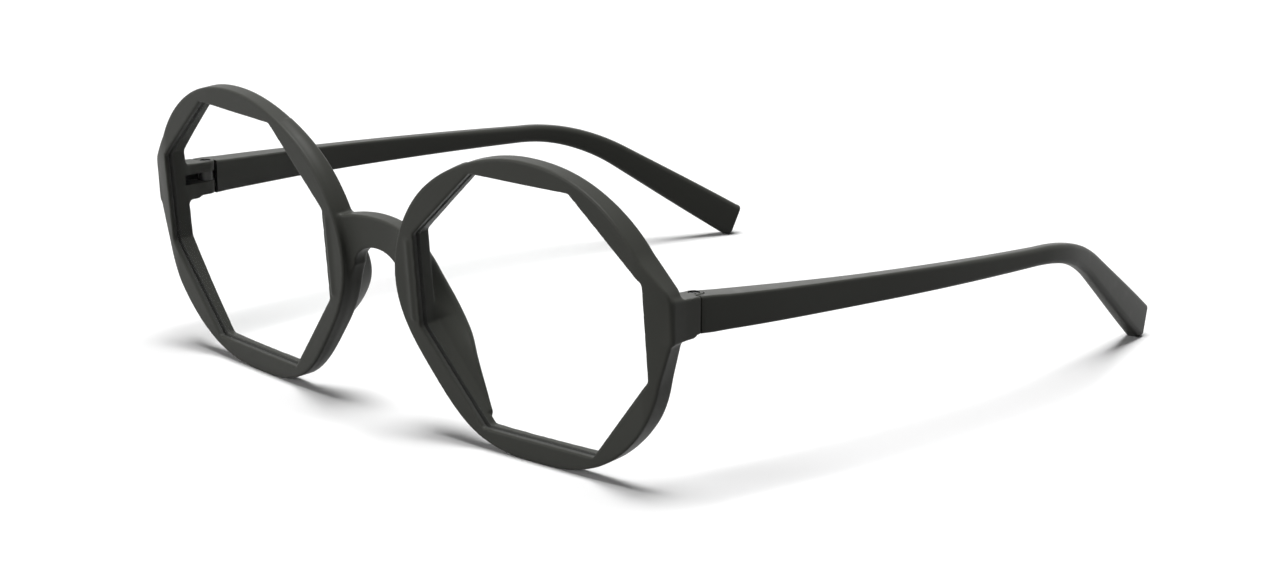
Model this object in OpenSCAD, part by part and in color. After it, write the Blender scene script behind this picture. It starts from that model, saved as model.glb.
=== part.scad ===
// Reading glasses: moulded front with octagonal apertures, two lenses and two temples on flex hinges.
// X runs across the face, Y runs back along the temples and Z is up. Z = 0 is the table that the
// open glasses stand on, on both rims and both temple tips. The right side is +X.

/* [Front] */
// Distance between the two lenses over the nose
lens_gap = 24.4; // [22:0.2:26]
// Height of the lens's lower edge above the table
rim_foot = 3.6; // [3.4:0.1:5]
// Mean width of the rim round the aperture
rim_width = 4; // [3.6:0.1:4.4]
// Depth of a rim at its top and bottom, from its flat front face to its hollowed back
rim_depth = 3.2; // [3:0.1:4]
// How much deeper the rim is at its sides
rim_hollow = 0.9; // [0:0.1:1.6]
// Swing of each rim round the face, in degrees
wrap = 4.5; // [0:0.5:6]
// Lean of the front, top forward, in degrees
lean = 5; // [3:0.5:7]
// Bevel round the front edge of a rim
edge_bevel = 0.5; // [0.2:0.1:0.7]

/* [Aperture] */
// Width across the upright flats of the octagon
aperture_w = 52; // [48:0.5:53]
// Height across the level flats of the octagon
aperture_h = 44.8; // [42:0.2:45.4]
// Length of the top flat
top_flat = 22.6; // [20:0.2:24]
// Length of the bottom flat
bottom_flat = 25.2; // [22:0.2:26]
// Upper end of the upright flats, above the middle of the rim
side_flat_top = 9.6; // [8:0.1:11]
// Lower end of the upright flats, below the middle of the rim
side_flat_bottom = 6.7; // [6:0.1:9]
// Rounding of the octagon's corners
aperture_corner = 1; // [0.6:0.1:2]
// Bevel round the front edge of the aperture
aperture_bevel = 0.35; // [0.2:0.05:0.5]

/* [Lenses] */
// Radius of the front surface
lens_front_radius = 300; // [250:10:500]
// Radius of the back surface
lens_back_radius = 600; // [550:10:900]
// Thickness of the lens at its corners
lens_edge = 1.4; // [1.3:0.1:1.8]
// Distance from the front face to the groove's middle
groove_y = 1.4; // [1.3:0.1:1.8]
// Depth of the lens groove
groove_depth = 0.7; // [0.4:0.1:0.9]
// Width of the lens groove
groove_width = 1; // [0.8:0.1:1.1]
// Clearance between lens and rim
lens_clearance = 0.05; // [0.02:0.01:0.1]

/* [Bridge and nose pads] */
// Height of the bridge's top edge above the middle of the rims
bridge_top = 9.9; // [9:0.1:12]
// Height of the arch under the bridge above the middle of the rims
bridge_arch = 4.3; // [3:0.1:5.5]
// Depth of the bridge from front to back
bridge_depth = 3.3; // [2.8:0.1:4]
// Depth of the nose pads behind the front face
pad_depth = 8.8; // [7.5:0.1:11]
// How far the pads lean away from the nose
pad_splay = 2.9; // [1.6:0.1:3]
// Radius of the pads' back edge
pad_radius = 1.3; // [1:0.1:1.5]
// Where a pad begins on the rim, in degrees from the temple side over the top
pad_first = 162; // [158:1:166]
// Where a pad ends on the rim, in degrees
pad_last = 240; // [236:1:244]

/* [Hinge] */
// Distance from the lens out to the endpiece's outer side at the seam
endpiece_reach = 4.2; // [4:0.1:5]
// Thickness of the endpiece and of the temple at the seam
hinge_thickness = 4.5; // [4.3:0.1:5]
// Distance from the front plane back to the seam
seam_y = 10.6; // [10:0.1:12]
// Gap between endpiece and temple at the seam
seam_gap = 0.12; // [0.08:0.01:0.2]
// Distance from the seam back to the hinge axis
axis_back = 1; // [0.8:0.1:1.3]
// Radius of the round tine ends
tine_radius = 1.6; // [1.5:0.05:1.8]
// Gap round the tine ends
tine_gap = 0.15; // [0.1:0.01:0.2]
// Top of the endpiece and of the temple at the seam, above the middle of the rims
hinge_up = 7.1; // [6.8:0.1:7.6]
// Height of the endpiece and of the temple at the hinge
hinge_height = 6.2; // [6:0.1:6.8]
// Bottom of the slot between the tines, above the endpiece's bottom
slot_up = 2.5; // [2.3:0.1:2.7]
// Height of the slot between the tines
slot_height = 1.9; // [1.7:0.05:2]
// Length of the slot in front of the hinge axis
slot_front = 6.2; // [5:0.1:6.5]

/* [Hinge screw] */
// Radius of the screw's shank
screw_radius = 0.6; // [0.5:0.01:0.65]
// Running clearance round the shank
screw_clearance = 0.04; // [0.02:0.01:0.08]
// Radius of the screw's head
head_radius = 0.9; // [0.8:0.05:1]
// Height of the screw's head
head_height = 0.6; // [0.5:0.05:0.7]
// Depth of the head below the tine's top
head_sink = 0.15; // [0.05:0.05:0.3]
// Gap round the head
head_gap = 0.1; // [0.05:0.05:0.2]
// Radius of the threaded insert in the lower tine
insert_radius = 1; // [0.9:0.05:1.1]
// Height of the threaded insert
insert_height = 1.8; // [1.5:0.1:2]

/* [Flex cartridge] */
// Swing of the cartridge away from the straight-back direction, in degrees
flex_yaw = 9; // [8:0.5:10]
// Radius of the slider's eye
eye_radius = 1.4; // [1.3:0.05:1.45]
// Clearance above and below the eye
eye_clearance = 0.06; // [0.04:0.01:0.1]
// Distance from the hinge axis to the front of the housing
housing_front = 1.95; // [1.9:0.05:2.1]
// Length of the housing
housing_length = 9.4; // [9:0.1:10]
// Outer radius of the housing
housing_radius = 1.25; // [1.2:0.01:1.3]
// Radius of the housing's bore
housing_bore = 0.95; // [0.92:0.01:1]
// Thickness of the housing's front wall
housing_wall = 0.8; // [0.6:0.1:1]
// Radius of the slider's rod
rod_radius = 0.45; // [0.4:0.01:0.48]
// Running clearance round the rod and the stop
rod_clearance = 0.05; // [0.03:0.01:0.08]
// Thickness of the stop at the rod's end
stop_length = 0.9; // [0.6:0.1:1.2]
// Radius of the spring's wire
wire_radius = 0.14; // [0.12:0.01:0.15]
// Turns of the spring
spring_turns = 9; // [6:1:10]

/* [Temples] */
// Swing of the temple at the seam, outwards, in degrees
yaw_front = 8; // [6:0.5:9]
// Swing of the temple at the ear bend, inwards, in degrees
yaw_ear = 5; // [3:0.5:7]
// Swing of the tip, inwards, in degrees
yaw_tip = 20; // [14:0.5:22]
// Fall of the straight part, in degrees
pitch_front = 3; // [2.5:0.1:3.5]
// Fall of the tip, in degrees
pitch_tip = 32; // [32:0.5:37]
// Length of the straight part
straight_length = 82; // [78:0.5:84]
// Radius of the ear bend, seen from the side
bend_radius = 46; // [42:1:50]
// Length of the tip behind the bend
tip_length = 33; // [31:0.5:35]
// Thickness of the temple at mid length
temple_thickness = 2.8; // [2.5:0.1:3.2]
// Height of the temple just before the ear bend
ear_height = 3.3; // [3.2:0.1:4.5]
// Height of the temple at the end of the tip
tip_height = 6.8; // [6.5:0.1:8]
// Y of the tip's end, where it is cut off
tip_end_y = 140.2; // [139:0.1:141]

/* [Hidden] */
// Distance from the front plane to the middle of the open glasses, which is the origin
stand_y = 68.3;
// Small overlap that makes joined solids one
join = 0.05;
round_fn = 48;

// Share of the rim's width that it has every 30 degrees, from the temple side over the top. It swells
// where it meets the endpiece and the bridge.
rim_swell = [0.725, 1.003, 1.091, 0.975, 0.979, 1.24, 1.3, 0.778, 1.105, 0.938, 1.067, 0.94];

// Share of its full depth that a pad has at seven even places from its upper end to its lower end
pad_share = [0.39, 0.77, 1, 0.98, 0.77, 0.6, 0.42];

frame_color = "#43443e";
steel_color = "#a9abab";
brass_color = "#b08d4a";

// Along the temple, from the seam: where it starts and stops getting thinner, and where its edges
// start getting rounder
taper_from = 6;
taper_to = 40;
round_from = 30;
// The tip turns inwards over this length, gets thicker by this much and flares from this far
// before the bend
turn_length = 14;
tip_thicker = 0.5;
flare_lead = 6;
// Edge radius of the temple at the hinge, and how much it grows
corner_front = 0.45;
corner_growth = 0.6;
// The temple's centre line starts this far in front of the seam
temple_start = -2;

rim_x = (aperture_w + lens_gap) / 2;
rim_z = aperture_h / 2 + rim_foot;
endpiece_x = rim_x + aperture_w / 2 + endpiece_reach;
hinge_top = rim_z + hinge_up;
hinge_bottom = hinge_top - hinge_height;
// Where the rim's corner ends, below the endpiece's side
rim_side = (endpiece_x - 0.9 - rim_x) / cos(wrap);
slot_bottom = hinge_bottom + slot_up;
slot_middle = slot_bottom + slot_height / 2;
inner_x = endpiece_x - hinge_thickness;
axis_x = inner_x + tine_radius;
axis_y = seam_y + axis_back;
spring_radius = housing_bore - 2 * rod_clearance - wire_radius;
spring_front = housing_front + housing_wall;
// The stop rests a little inside the housing's open end
stop_inset = 0.3;
stop_front = housing_front + housing_length - stop_length - stop_inset;
ear_s = straight_length + bend_radius * (pitch_tip - pitch_front) * PI / 180;
temple_end_s = ear_s + tip_length;

// Mirrors the right side's piece to the left
module side(s) {
  if (s < 0) mirror([1, 0, 0]) children();
  else children();
}

// Puts a piece drawn from the front plane into the standing position
module stand() {
  translate([0, -stand_y, 0]) children();
}

// The front's own plane: x across, y back, z up from the middle of the rims
module on_front() {
  translate([0, 0, rim_z]) rotate([lean, 0, 0]) children();
}

// A rim's own plane: x towards the temple
module on_rim() {
  on_front() translate([rim_x, 0, 0]) rotate([0, 0, wrap]) children();
}

// Extrudes an outline drawn in x and z along y
module plate(from, to) {
  rotate([90, 0, 0]) translate([0, 0, -to]) linear_extrude(to - from) children();
}

// Smooth curve through four evenly spaced values
function through(a, b, c, d, t) =
  b + t * (c - a) / 2 + t * t * (a - 2.5 * b + 2 * c - d / 2) + t * t * t * (1.5 * (b - c) + (d - a) / 2);

// Radius of the ellipse that fits the aperture
function aperture_radius(angle) =
  aperture_w * aperture_h / 2 / norm([aperture_h * cos(angle), aperture_w * sin(angle)]);

function outline_radius(angle) =
  let (n = len(rim_swell), u = angle * n / 360, i = floor(u))
  aperture_radius(angle) + rim_width * through(
    rim_swell[(i + n - 1) % n], rim_swell[i % n], rim_swell[(i + 1) % n], rim_swell[(i + 2) % n], u - i);

function outline_point(angle) = outline_radius(angle) * [cos(angle), sin(angle)];

module rim_outline_2d() {
  polygon([for (angle = [0 : 5 : 355]) outline_point(angle)]);
  // The corner where the rim runs out to the endpiece
  above = 0.8;
  below = 0.4;
  polygon([
    outline_point(50), [rim_side, hinge_up + above],
    [rim_side, hinge_up - hinge_height - below], outline_point(350), [0, 0]
  ]);
}

// The octagon with rounded corners, grown by an amount
module octagon_2d(grow = 0) {
  w = aperture_w / 2;
  h = aperture_h / 2;
  offset(r = aperture_corner, $fn = 32) offset(delta = grow - aperture_corner)
    polygon([
      [w, side_flat_top], [top_flat / 2, h], [-top_flat / 2, h], [-w, side_flat_top],
      [-w, -side_flat_bottom], [-bottom_flat / 2, -h], [bottom_flat / 2, -h], [w, -side_flat_bottom]
    ]);
}

// A disc with a V edge: the lens's bevel, or the groove that holds it
module v_disc(depth, width) {
  inset = 0.3;
  foot = width / 2 * (depth + inset) / depth;
  hull() {
    plate(groove_y - foot, groove_y + foot) octagon_2d(-inset);
    plate(groove_y - join, groove_y + join) octagon_2d(depth);
  }
}

// The rim is where its outline and its top view meet: flat in front, hollowed behind
module rim_body() {
  half = aperture_w / 2;
  reach = half + 2 * rim_width;
  bevel_scale = 1 - edge_bevel / (half + rim_width / 2);
  intersection() {
    union() {
      plate(edge_bevel, 3 * rim_depth) rim_outline_2d();
      rotate([90, 0, 0]) translate([0, 0, -edge_bevel])
        linear_extrude(edge_bevel, scale = bevel_scale) rim_outline_2d();
    }
    translate([0, 0, -2 * reach]) linear_extrude(4 * reach) polygon([
      [-reach, -1], [reach, -1],
      for (t = [1 : -0.05 : -1]) [reach * t, rim_depth + rim_hollow * (reach * t / half) ^ 2]
    ]);
  }
}

module aperture_cut() {
  spare = 0.3;
  behind = 20;
  plate(-1, rim_depth + behind) octagon_2d();
  v_disc(groove_depth, groove_width);
  hull() {
    plate(-spare - 0.1, -spare) octagon_2d(aperture_bevel + spare);
    plate(aperture_bevel + spare, aperture_bevel + spare + 0.1) octagon_2d(-spare);
  }
}

// The bridge is where its front view and its top view meet. Both are drawn in shares of the gap
// between the lenses.
module bridge() {
  reach = 0.45 * lens_gap;
  crown = lens_gap / 3;
  crown_fall = 0.9;
  arch_wide = lens_gap / 4;
  arch_high = lens_gap / 6;
  front_y = -0.5;
  front_bow = 1.7;
  back_bow = 1.2;
  intersection() {
    plate(-rim_depth, 2 * rim_depth) difference() {
      polygon([
        for (t = [-1 : 0.2 : 1]) [reach * t, bridge_top - crown_fall * (reach * t / crown) ^ 2],
        [reach, -reach / 2], [-reach, -reach / 2]
      ]);
      // The arch over the nose
      polygon([
        for (a = [0 : 10 : 180]) [arch_wide * cos(a), bridge_arch - arch_high + arch_high * sin(a)],
        [-1.7 * arch_wide, -0.6 * reach], [1.7 * arch_wide, -0.6 * reach]
      ]);
    }
    translate([0, 0, -reach]) linear_extrude(3 * reach) polygon([
      for (t = [-1 : 0.1 : 1]) [reach * t, front_y - front_bow * t ^ 4],
      for (t = [1 : -0.1 : -1]) [reach * t, front_y + bridge_depth - back_bow * t ^ 2]
    ]);
  }
}

// A nose pad grows out of the rim's nose side: its sections stand across the rim's outline. Behind the
// rim it may lean over the aperture, from a sloping face that starts at the aperture's wall.
module nose_pad() {
  lean_over = 2.5;
  count = 18;
  arc = 8;
  root_y = rim_depth / 3;
  root_wide = 2.3;
  root_inset = 0.25;
  ring = arc + 3;
  last = len(pad_share) - 1;
  tip = function (u)
    let (i = min(floor(u * last), last - 1))
    pad_depth * through(
      pad_share[max(i - 1, 0)], pad_share[i], pad_share[i + 1], pad_share[min(i + 2, last)], u * last - i);
  section = function (angle, u)
    let (
      r = outline_radius(angle), tr = r - pad_splay * sin(180 * u) ^ 0.5 - pad_radius,
      ty = tip(u) - pad_radius
    )
    [
      [r - root_wide, root_y],
      for (i = [0 : arc]) [tr - pad_radius * cos(180 * i / arc), ty + pad_radius * sin(180 * i / arc)],
      [r - root_inset, root_y]
    ];
  points = [
    for (j = [0 : count])
      let (u = j / count, angle = pad_first + (pad_last - pad_first) * u)
      for (p = section(angle, u)) [p[0] * cos(angle), p[1], p[0] * sin(angle)]
  ];
  sides = [
    for (j = [0 : count - 1]) for (i = [0 : ring - 1])
      let (a = j * ring + i, b = j * ring + (i + 1) % ring)
      each [[a, b, b + ring], [a, b + ring, a + ring]]
  ];
  caps = [[for (i = [ring - 1 : -1 : 0]) i], [for (i = [0 : ring - 1]) count * ring + i]];
  difference() {
    polyhedron(points, [each sides, each caps]);
    hull() {
      plate(-1, rim_depth) octagon_2d(join);
      plate(rim_depth + lean_over, rim_depth + lean_over + join) octagon_2d(-lean_over);
    }
  }
}

// The endpiece is where its top view and its side view meet
module endpiece() {
  // Front face, outer corner and the swell behind it
  face_y = 2.2;
  corner = 1.4;
  swell = 0.1;
  // The crescent-shaped fillet between the rim's back and the hinge
  crescent = 1.5;
  crescent_y = 6;
  // It is deeper at the rim, with a step below, in front of the seam
  deeper = 0.5;
  step_y = 0.8;
  step_z = 0.4;
  back_y = axis_y + tine_radius + 1;
  intersection() {
    translate([0, 0, hinge_bottom - 2]) linear_extrude(hinge_height + 4) union() {
      polygon([
        [inner_x - 2 * crescent, face_y + swell], [inner_x + crescent, face_y],
        for (a = [-90 : 15 : 0])
          [endpiece_x + swell - corner + corner * cos(a), face_y + corner + corner * sin(a)],
        [endpiece_x, seam_y - seam_gap], [axis_x + tine_radius, seam_y - seam_gap],
        [axis_x + tine_radius, axis_y], [inner_x, axis_y],
        [inner_x, crescent_y], [inner_x - crescent, crescent_y - 1]
      ]);
      translate([axis_x, axis_y]) circle(tine_radius, $fn = round_fn);
    }
    translate([inner_x - 4 * crescent, 0, 0]) rotate([90, 0, 90]) linear_extrude(9 * crescent) polygon([
      [0, hinge_top + deeper], [seam_y, hinge_top], [back_y, hinge_top], [back_y, hinge_bottom],
      [seam_y - step_y, hinge_bottom], [seam_y - 2 * step_y, hinge_bottom - step_z],
      [2 * crescent, hinge_bottom - deeper], [0, hinge_bottom - deeper]
    ]);
  }
}

module hinge_cuts() {
  // Slot for the slider's eye, open to the inside
  into = 4 * tine_radius;
  eye_room = 0.25;
  translate([inner_x - into, axis_y - slot_front, slot_bottom])
    cube([into + tine_radius + eye_radius + eye_room, slot_front + 2 * tine_radius, slot_height]);
  translate([axis_x, axis_y, 0]) {
    translate([0, 0, slot_bottom])
      cylinder(h = hinge_height, r = screw_radius + screw_clearance, $fn = round_fn);
    translate([0, 0, hinge_top - head_height - head_sink])
      cylinder(h = 4 * head_height, r = head_radius + head_gap, $fn = round_fn);
    translate([0, 0, slot_bottom - insert_height])
      cylinder(h = insert_height + join, r = insert_radius, $fn = round_fn);
  }
}

module front() {
  color(frame_color) stand() difference() {
    union() {
      difference() {
        union() {
          for (s = [-1, 1]) side(s) {
            on_rim() rim_body();
            endpiece();
          }
          on_front() bridge();
        }
        for (s = [-1, 1]) side(s) on_rim() aperture_cut();
      }
      for (s = [-1, 1]) side(s) on_rim() nose_pad();
    }
    for (s = [-1, 1]) side(s) hinge_cuts();
  }
}

// Sag of a spherical surface at a distance from its middle
function sag(radius, r) = radius - sqrt(radius ^ 2 - r ^ 2);

module lens() {
  corner = norm([aperture_w / 2, side_flat_top]);
  reach = 1.1 * corner;
  front_y = groove_y - lens_edge / 2 - sag(lens_front_radius, corner);
  back_y = groove_y + lens_edge / 2 - sag(lens_back_radius, corner);
  color("#eef3f4", 0.35) stand() on_rim() intersection() {
    // The round blank
    rotate([-90, 0, 0]) rotate_extrude($fn = 180) polygon([
      for (i = [0 : 12]) [reach * i / 12, front_y + sag(lens_front_radius, reach * i / 12)],
      for (i = [12 : -1 : 0]) [reach * i / 12, back_y + sag(lens_back_radius, reach * i / 12)]
    ]);
    union() {
      plate(front_y - 1, rim_depth + 1) octagon_2d(-lens_clearance);
      v_disc(groove_depth - 2 * lens_clearance, groove_width - 2 * lens_clearance);
    }
  }
}

// Cosine step from 0 to 1 between two places along the temple
function step(s, from, to) =
  s <= from ? 0 : s >= to ? 1 : (1 - cos(180 * (s - from) / (to - from))) / 2;

function temple_pitch(s) =
  let (bent = min(1, max(0, (s - straight_length) / (ear_s - straight_length))))
  -pitch_front - (pitch_tip - pitch_front) * bent;

function temple_yaw(s) =
  s < straight_length ? yaw_front - (yaw_front + yaw_ear) * s / straight_length
  : -yaw_ear - (yaw_tip - yaw_ear) * min(1, (s - straight_length) / turn_length);

function temple_thick(s) =
  hinge_thickness - (hinge_thickness - temple_thickness) * step(s, taper_from, taper_to)
  + tip_thicker * step(s, ear_s, temple_end_s);

function temple_high(s) =
  s < straight_length ? hinge_height - (hinge_height - ear_height) * (max(0, s) / straight_length) ^ 0.85
  : ear_height
    + (tip_height - ear_height) * step(s, straight_length - flare_lead, temple_end_s + flare_lead);

function temple_corner(s) =
  corner_front + corner_growth * step(s, round_from, straight_length + round_from / 3);

function heading(s) =
  let (yaw = temple_yaw(s), pitch = temple_pitch(s))
  [sin(yaw) * cos(pitch), cos(yaw) * cos(pitch), sin(pitch)];

// Centre line of the temple, one point per millimetre from just in front of the seam
temple_line = [
  for (s = temple_start, p = [endpiece_x - hinge_thickness / 2, seam_y, (hinge_top + hinge_bottom) / 2]
         + temple_start * heading(0); s <= temple_end_s + 6; p = p + heading(s + 0.5), s = s + 1) p
];

module temple_body() {
  corner_steps = 3;
  ring = 4 * (corner_steps + 1);
  // The sections stand closest together round the bend
  bend_from = floor(straight_length) - 5;
  bend_to = floor(ear_s) + 4;
  stations = [
    for (s = [temple_start : 4 : 26]) s, for (s = [32 : 6 : bend_from - 3]) s,
    for (s = [bend_from : 2 : bend_to]) s, for (s = [bend_to + 3 : 4 : temple_end_s]) s
  ];
  points = [
    for (s = stations)
      let (
        yaw = temple_yaw(s), across = [cos(yaw), -sin(yaw), 0], upward = cross(across, heading(s)),
        w = temple_thick(s) / 2, h = temple_high(s) / 2, r = temple_corner(s)
      )
      for (q = [0 : 3], k = [0 : corner_steps])
        let (
          a = 90 * q + 90 * k / corner_steps, sx = (q == 0 || q == 3) ? 1 : -1, sz = q < 2 ? 1 : -1
        )
        temple_line[s - temple_start]
        + (sx * (w - r) + r * cos(a)) * across + (sz * (h - r) + r * sin(a)) * upward
  ];
  count = len(stations) - 1;
  sides = [
    for (j = [0 : count - 1]) for (i = [0 : ring - 1])
      let (a = j * ring + i, b = j * ring + (i + 1) % ring)
      each [[a, b, b + ring], [a, b + ring, a + ring]]
  ];
  caps = [[for (i = [ring - 1 : -1 : 0]) i], [for (i = [0 : ring - 1]) count * ring + i]];
  polyhedron(points, [each sides, each caps]);
}

// Places the cartridge's parts along the slider's line, which starts at the hinge axis
module on_flex() {
  translate([axis_x, axis_y, slot_middle]) rotate([0, 0, -flex_yaw]) rotate([-90, 0, 0]) children();
}

module temple() {
  // The tip's end is cut off upright, with a small heel on the table
  heel = 1.8;
  above = 2 * hinge_top;
  room = tine_radius + tine_gap;
  low = hinge_bottom - hinge_height / 2;
  color(frame_color) stand() difference() {
    intersection() {
      temple_body();
      // The seam in front, the table below and the cut tip behind
      translate([endpiece_x / 2, 0, 0]) rotate([90, 0, 90]) linear_extrude(endpiece_x) polygon([
        [seam_y, above], [seam_y, 0], [tip_end_y - heel, 0], [tip_end_y - 0.6 * heel, heel / 3],
        [tip_end_y, 2.8 * heel], [tip_end_y, above]
      ]);
    }
    // Room for the tines, and for the endpiece when the temple is folded
    translate([axis_x, axis_y, low]) cylinder(h = 2 * hinge_height, r = room, $fn = round_fn);
    translate([inner_x - room, axis_y - room, low]) cube([room + tine_radius, 2 * room, 2 * hinge_height]);
    translate([axis_x - room / 2, axis_y - room, low]) cube([1.5 * room, room, 2 * hinge_height]);
    on_flex() cylinder(h = housing_front + housing_length, r = housing_radius, $fn = round_fn);
  }
}

module hinge_screw() {
  head_bottom = hinge_top - head_height - head_sink;
  driver_wide = 0.22;
  driver_deep = 0.25;
  point_gap = 0.2;
  color(steel_color) stand() translate([axis_x, axis_y, 0]) difference() {
    union() {
      translate([0, 0, head_bottom]) cylinder(h = head_height, r = head_radius, $fn = round_fn);
      translate([0, 0, slot_bottom - insert_height + point_gap])
        cylinder(h = head_bottom - slot_bottom + insert_height, r = screw_radius, $fn = round_fn);
    }
    // Driver slot
    translate([-2 * head_radius, -driver_wide / 2, head_bottom + head_height - driver_deep])
      cube([4 * head_radius, driver_wide, head_height]);
  }
}

module thread_insert() {
  color(brass_color) stand() translate([axis_x, axis_y, slot_bottom - insert_height]) difference() {
    cylinder(h = insert_height, r = insert_radius, $fn = round_fn);
    translate([0, 0, -1]) cylinder(h = insert_height + 2, r = screw_radius, $fn = round_fn);
  }
}

module flex_slider() {
  color(steel_color) stand() difference() {
    union() {
      translate([axis_x, axis_y, slot_bottom + eye_clearance])
        cylinder(h = slot_height - 2 * eye_clearance, r = eye_radius, $fn = round_fn);
      on_flex() cylinder(h = stop_front + stop_length + stop_inset / 2, r = rod_radius, $fn = round_fn);
    }
    translate([axis_x, axis_y, slot_bottom - 1])
      cylinder(h = slot_height + 2, r = screw_radius + screw_clearance, $fn = round_fn);
  }
}

module flex_housing() {
  color(steel_color) stand() on_flex() translate([0, 0, housing_front]) difference() {
    cylinder(h = housing_length, r = housing_radius, $fn = round_fn);
    translate([0, 0, housing_wall]) cylinder(h = housing_length, r = housing_bore, $fn = round_fn);
    translate([0, 0, -1]) cylinder(h = housing_length, r = rod_radius + rod_clearance, $fn = round_fn);
  }
}

module slider_stop() {
  color(steel_color) stand() on_flex() translate([0, 0, stop_front]) difference() {
    cylinder(h = stop_length, r = housing_bore - rod_clearance, $fn = round_fn);
    translate([0, 0, -1]) cylinder(h = stop_length + 2, r = rod_radius, $fn = round_fn);
  }
}

// The spring's wire is one tube along a helix between the housing's front wall and the stop
module flex_spring() {
  steps = 12;
  wire_sides = 6;
  length = stop_front - spring_front - 2 * wire_radius;
  rings = spring_turns * steps;
  tilt = atan(length / (spring_turns * 2 * PI * spring_radius));
  points = [
    for (j = [0 : rings])
      let (
        a = 360 * j / steps, out = [cos(a), sin(a), 0], along = [-sin(a), cos(a), 0],
        lift = cos(tilt) * [0, 0, 1] - sin(tilt) * along,
        middle = spring_radius * out + [0, 0, spring_front + wire_radius + length * j / rings]
      )
      for (k = [0 : wire_sides - 1]) middle + wire_radius * (cos(60 * k) * out + sin(60 * k) * lift)
  ];
  sides = [
    for (j = [0 : rings - 1]) for (k = [0 : wire_sides - 1])
      let (a = j * wire_sides + k, b = j * wire_sides + (k + 1) % wire_sides)
      each [[b, a, a + wire_sides], [b, a + wire_sides, b + wire_sides]]
  ];
  caps = [[for (k = [0 : wire_sides - 1]) k], [for (k = [wire_sides - 1 : -1 : 0]) rings * wire_sides + k]];
  color(steel_color) stand() on_flex() polyhedron(points, [each sides, each caps]);
}

front();
side(-1) lens();  // lens_left
side(1) lens();  // lens_right
side(-1) temple();  // temple_left
side(1) temple();  // temple_right
side(-1) hinge_screw();  // hinge_screw_left
side(1) hinge_screw();  // hinge_screw_right
side(-1) thread_insert();  // thread_insert_left
side(1) thread_insert();  // thread_insert_right
side(-1) flex_slider();  // flex_slider_left
side(1) flex_slider();  // flex_slider_right
side(-1) flex_housing();  // flex_housing_left
side(1) flex_housing();  // flex_housing_right
side(-1) flex_spring();  // flex_spring_left
side(1) flex_spring();  // flex_spring_right
side(-1) slider_stop();  // slider_stop_left
side(1) slider_stop();  // slider_stop_right
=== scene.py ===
# %% [markdown]
# # Reading glasses
#
# These are plain moulded reading glasses: one plastic front that holds two lenses, and two temples that
# fold on small sprung hinges. Round outside, octagonal inside: that contrast is the whole design, so the
# edges have to be crisp and the blends between rim, bridge and nose pad have to be soft.
#
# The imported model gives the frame: every hole, pin and seam is already in its place. This lesson dresses
# it. We work in millimetres, in the same places as the solids, and turn to metres at the very end.

# %% Load the frame
import math
import bmesh
import bpy
import numpy as np
from mathutils import Matrix, Vector


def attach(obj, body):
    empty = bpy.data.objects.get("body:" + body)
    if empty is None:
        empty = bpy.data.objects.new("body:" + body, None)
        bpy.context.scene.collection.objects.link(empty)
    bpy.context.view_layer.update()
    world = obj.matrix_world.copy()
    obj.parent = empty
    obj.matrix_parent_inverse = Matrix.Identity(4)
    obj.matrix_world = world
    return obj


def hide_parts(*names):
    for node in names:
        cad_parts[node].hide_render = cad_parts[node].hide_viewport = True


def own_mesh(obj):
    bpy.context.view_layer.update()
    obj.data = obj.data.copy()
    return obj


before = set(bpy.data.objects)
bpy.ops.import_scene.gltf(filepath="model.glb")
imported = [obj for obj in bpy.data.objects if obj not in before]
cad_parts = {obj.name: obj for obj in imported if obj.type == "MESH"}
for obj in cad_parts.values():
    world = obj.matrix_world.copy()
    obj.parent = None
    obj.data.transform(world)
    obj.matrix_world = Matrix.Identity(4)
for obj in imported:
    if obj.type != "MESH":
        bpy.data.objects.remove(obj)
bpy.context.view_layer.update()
MM = 0.001

# %% [markdown]
# The sizes below are the named sizes that the solids were built from. Keeping them in one place means that
# the moulded skin, the lenses and the screws can't drift apart. The outer corner, the heel at the hinge and
# the moulded edges are finer than in the solids, so they have rows of their own.

# %% Sizes in millimetres
APERTURE_W, APERTURE_H, TOP_FLAT, BOTTOM_FLAT = 52.0, 44.8, 22.6, 25.2
SIDE_TOP, SIDE_BOTTOM, APERTURE_CORNER = 9.6, 6.7, 1.0
LENS_GAP, RIM_FOOT, RIM_WIDTH, RIM_DEPTH, RIM_HOLLOW = 24.4, 3.6, 4.0, 3.2, 0.9
WRAP, LEAN = math.radians(4.5), math.radians(5)
RIM_SWELL = np.array([0.725, 1.003, 1.091, 0.975, 0.979, 1.24, 1.3, 0.778, 1.105, 0.938, 1.067, 0.94])
BRIDGE_TOP, BRIDGE_ARCH, BRIDGE_DEPTH = 9.9, 4.3, 3.3
PAD_DEPTH, PAD_SPLAY, PAD_RADIUS, PAD_FIRST, PAD_LAST = 8.8, 2.9, 1.3, 162.0, 240.0
PAD_SHARE = np.array([0.39, 0.77, 1, 0.98, 0.77, 0.6, 0.42])
ENDPIECE_REACH, HINGE_THICKNESS, SEAM_Y, SEAM_GAP = 4.2, 4.5, 10.6, 0.12
HINGE_UP, HINGE_HEIGHT, TINE_RADIUS, AXIS_BACK = 7.1, 6.2, 1.6, 1.0
SLOT_UP, SLOT_HEIGHT, SLOT_FRONT, EYE_RADIUS, TINE_GAP = 2.5, 1.9, 5.8, 1.4, 0.15
GROOVE_Y, GROOVE_DEPTH, GROOVE_WIDTH = 1.4, 0.7, 1.0
STAND_Y = 68.3
CORNER_SWELL, CORNER_SWEEP, CORNER_TAPER, CORNER_FROM, CORNER_TO = 0.75, 1.1, 0.18, 24.5, 30.5
RIM_HEEL, FRONT_EDGE, BACK_EDGE, HINGE_EDGE, APERTURE_EDGE, PAD_EDGE = 0.5, 0.35, 0.7, 0.25, 0.22, 0.5
ENDPIECE_FILLET, PAD_FILLET, BRIDGE_FILLET = 0.9, 0.7, 0.8

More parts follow.
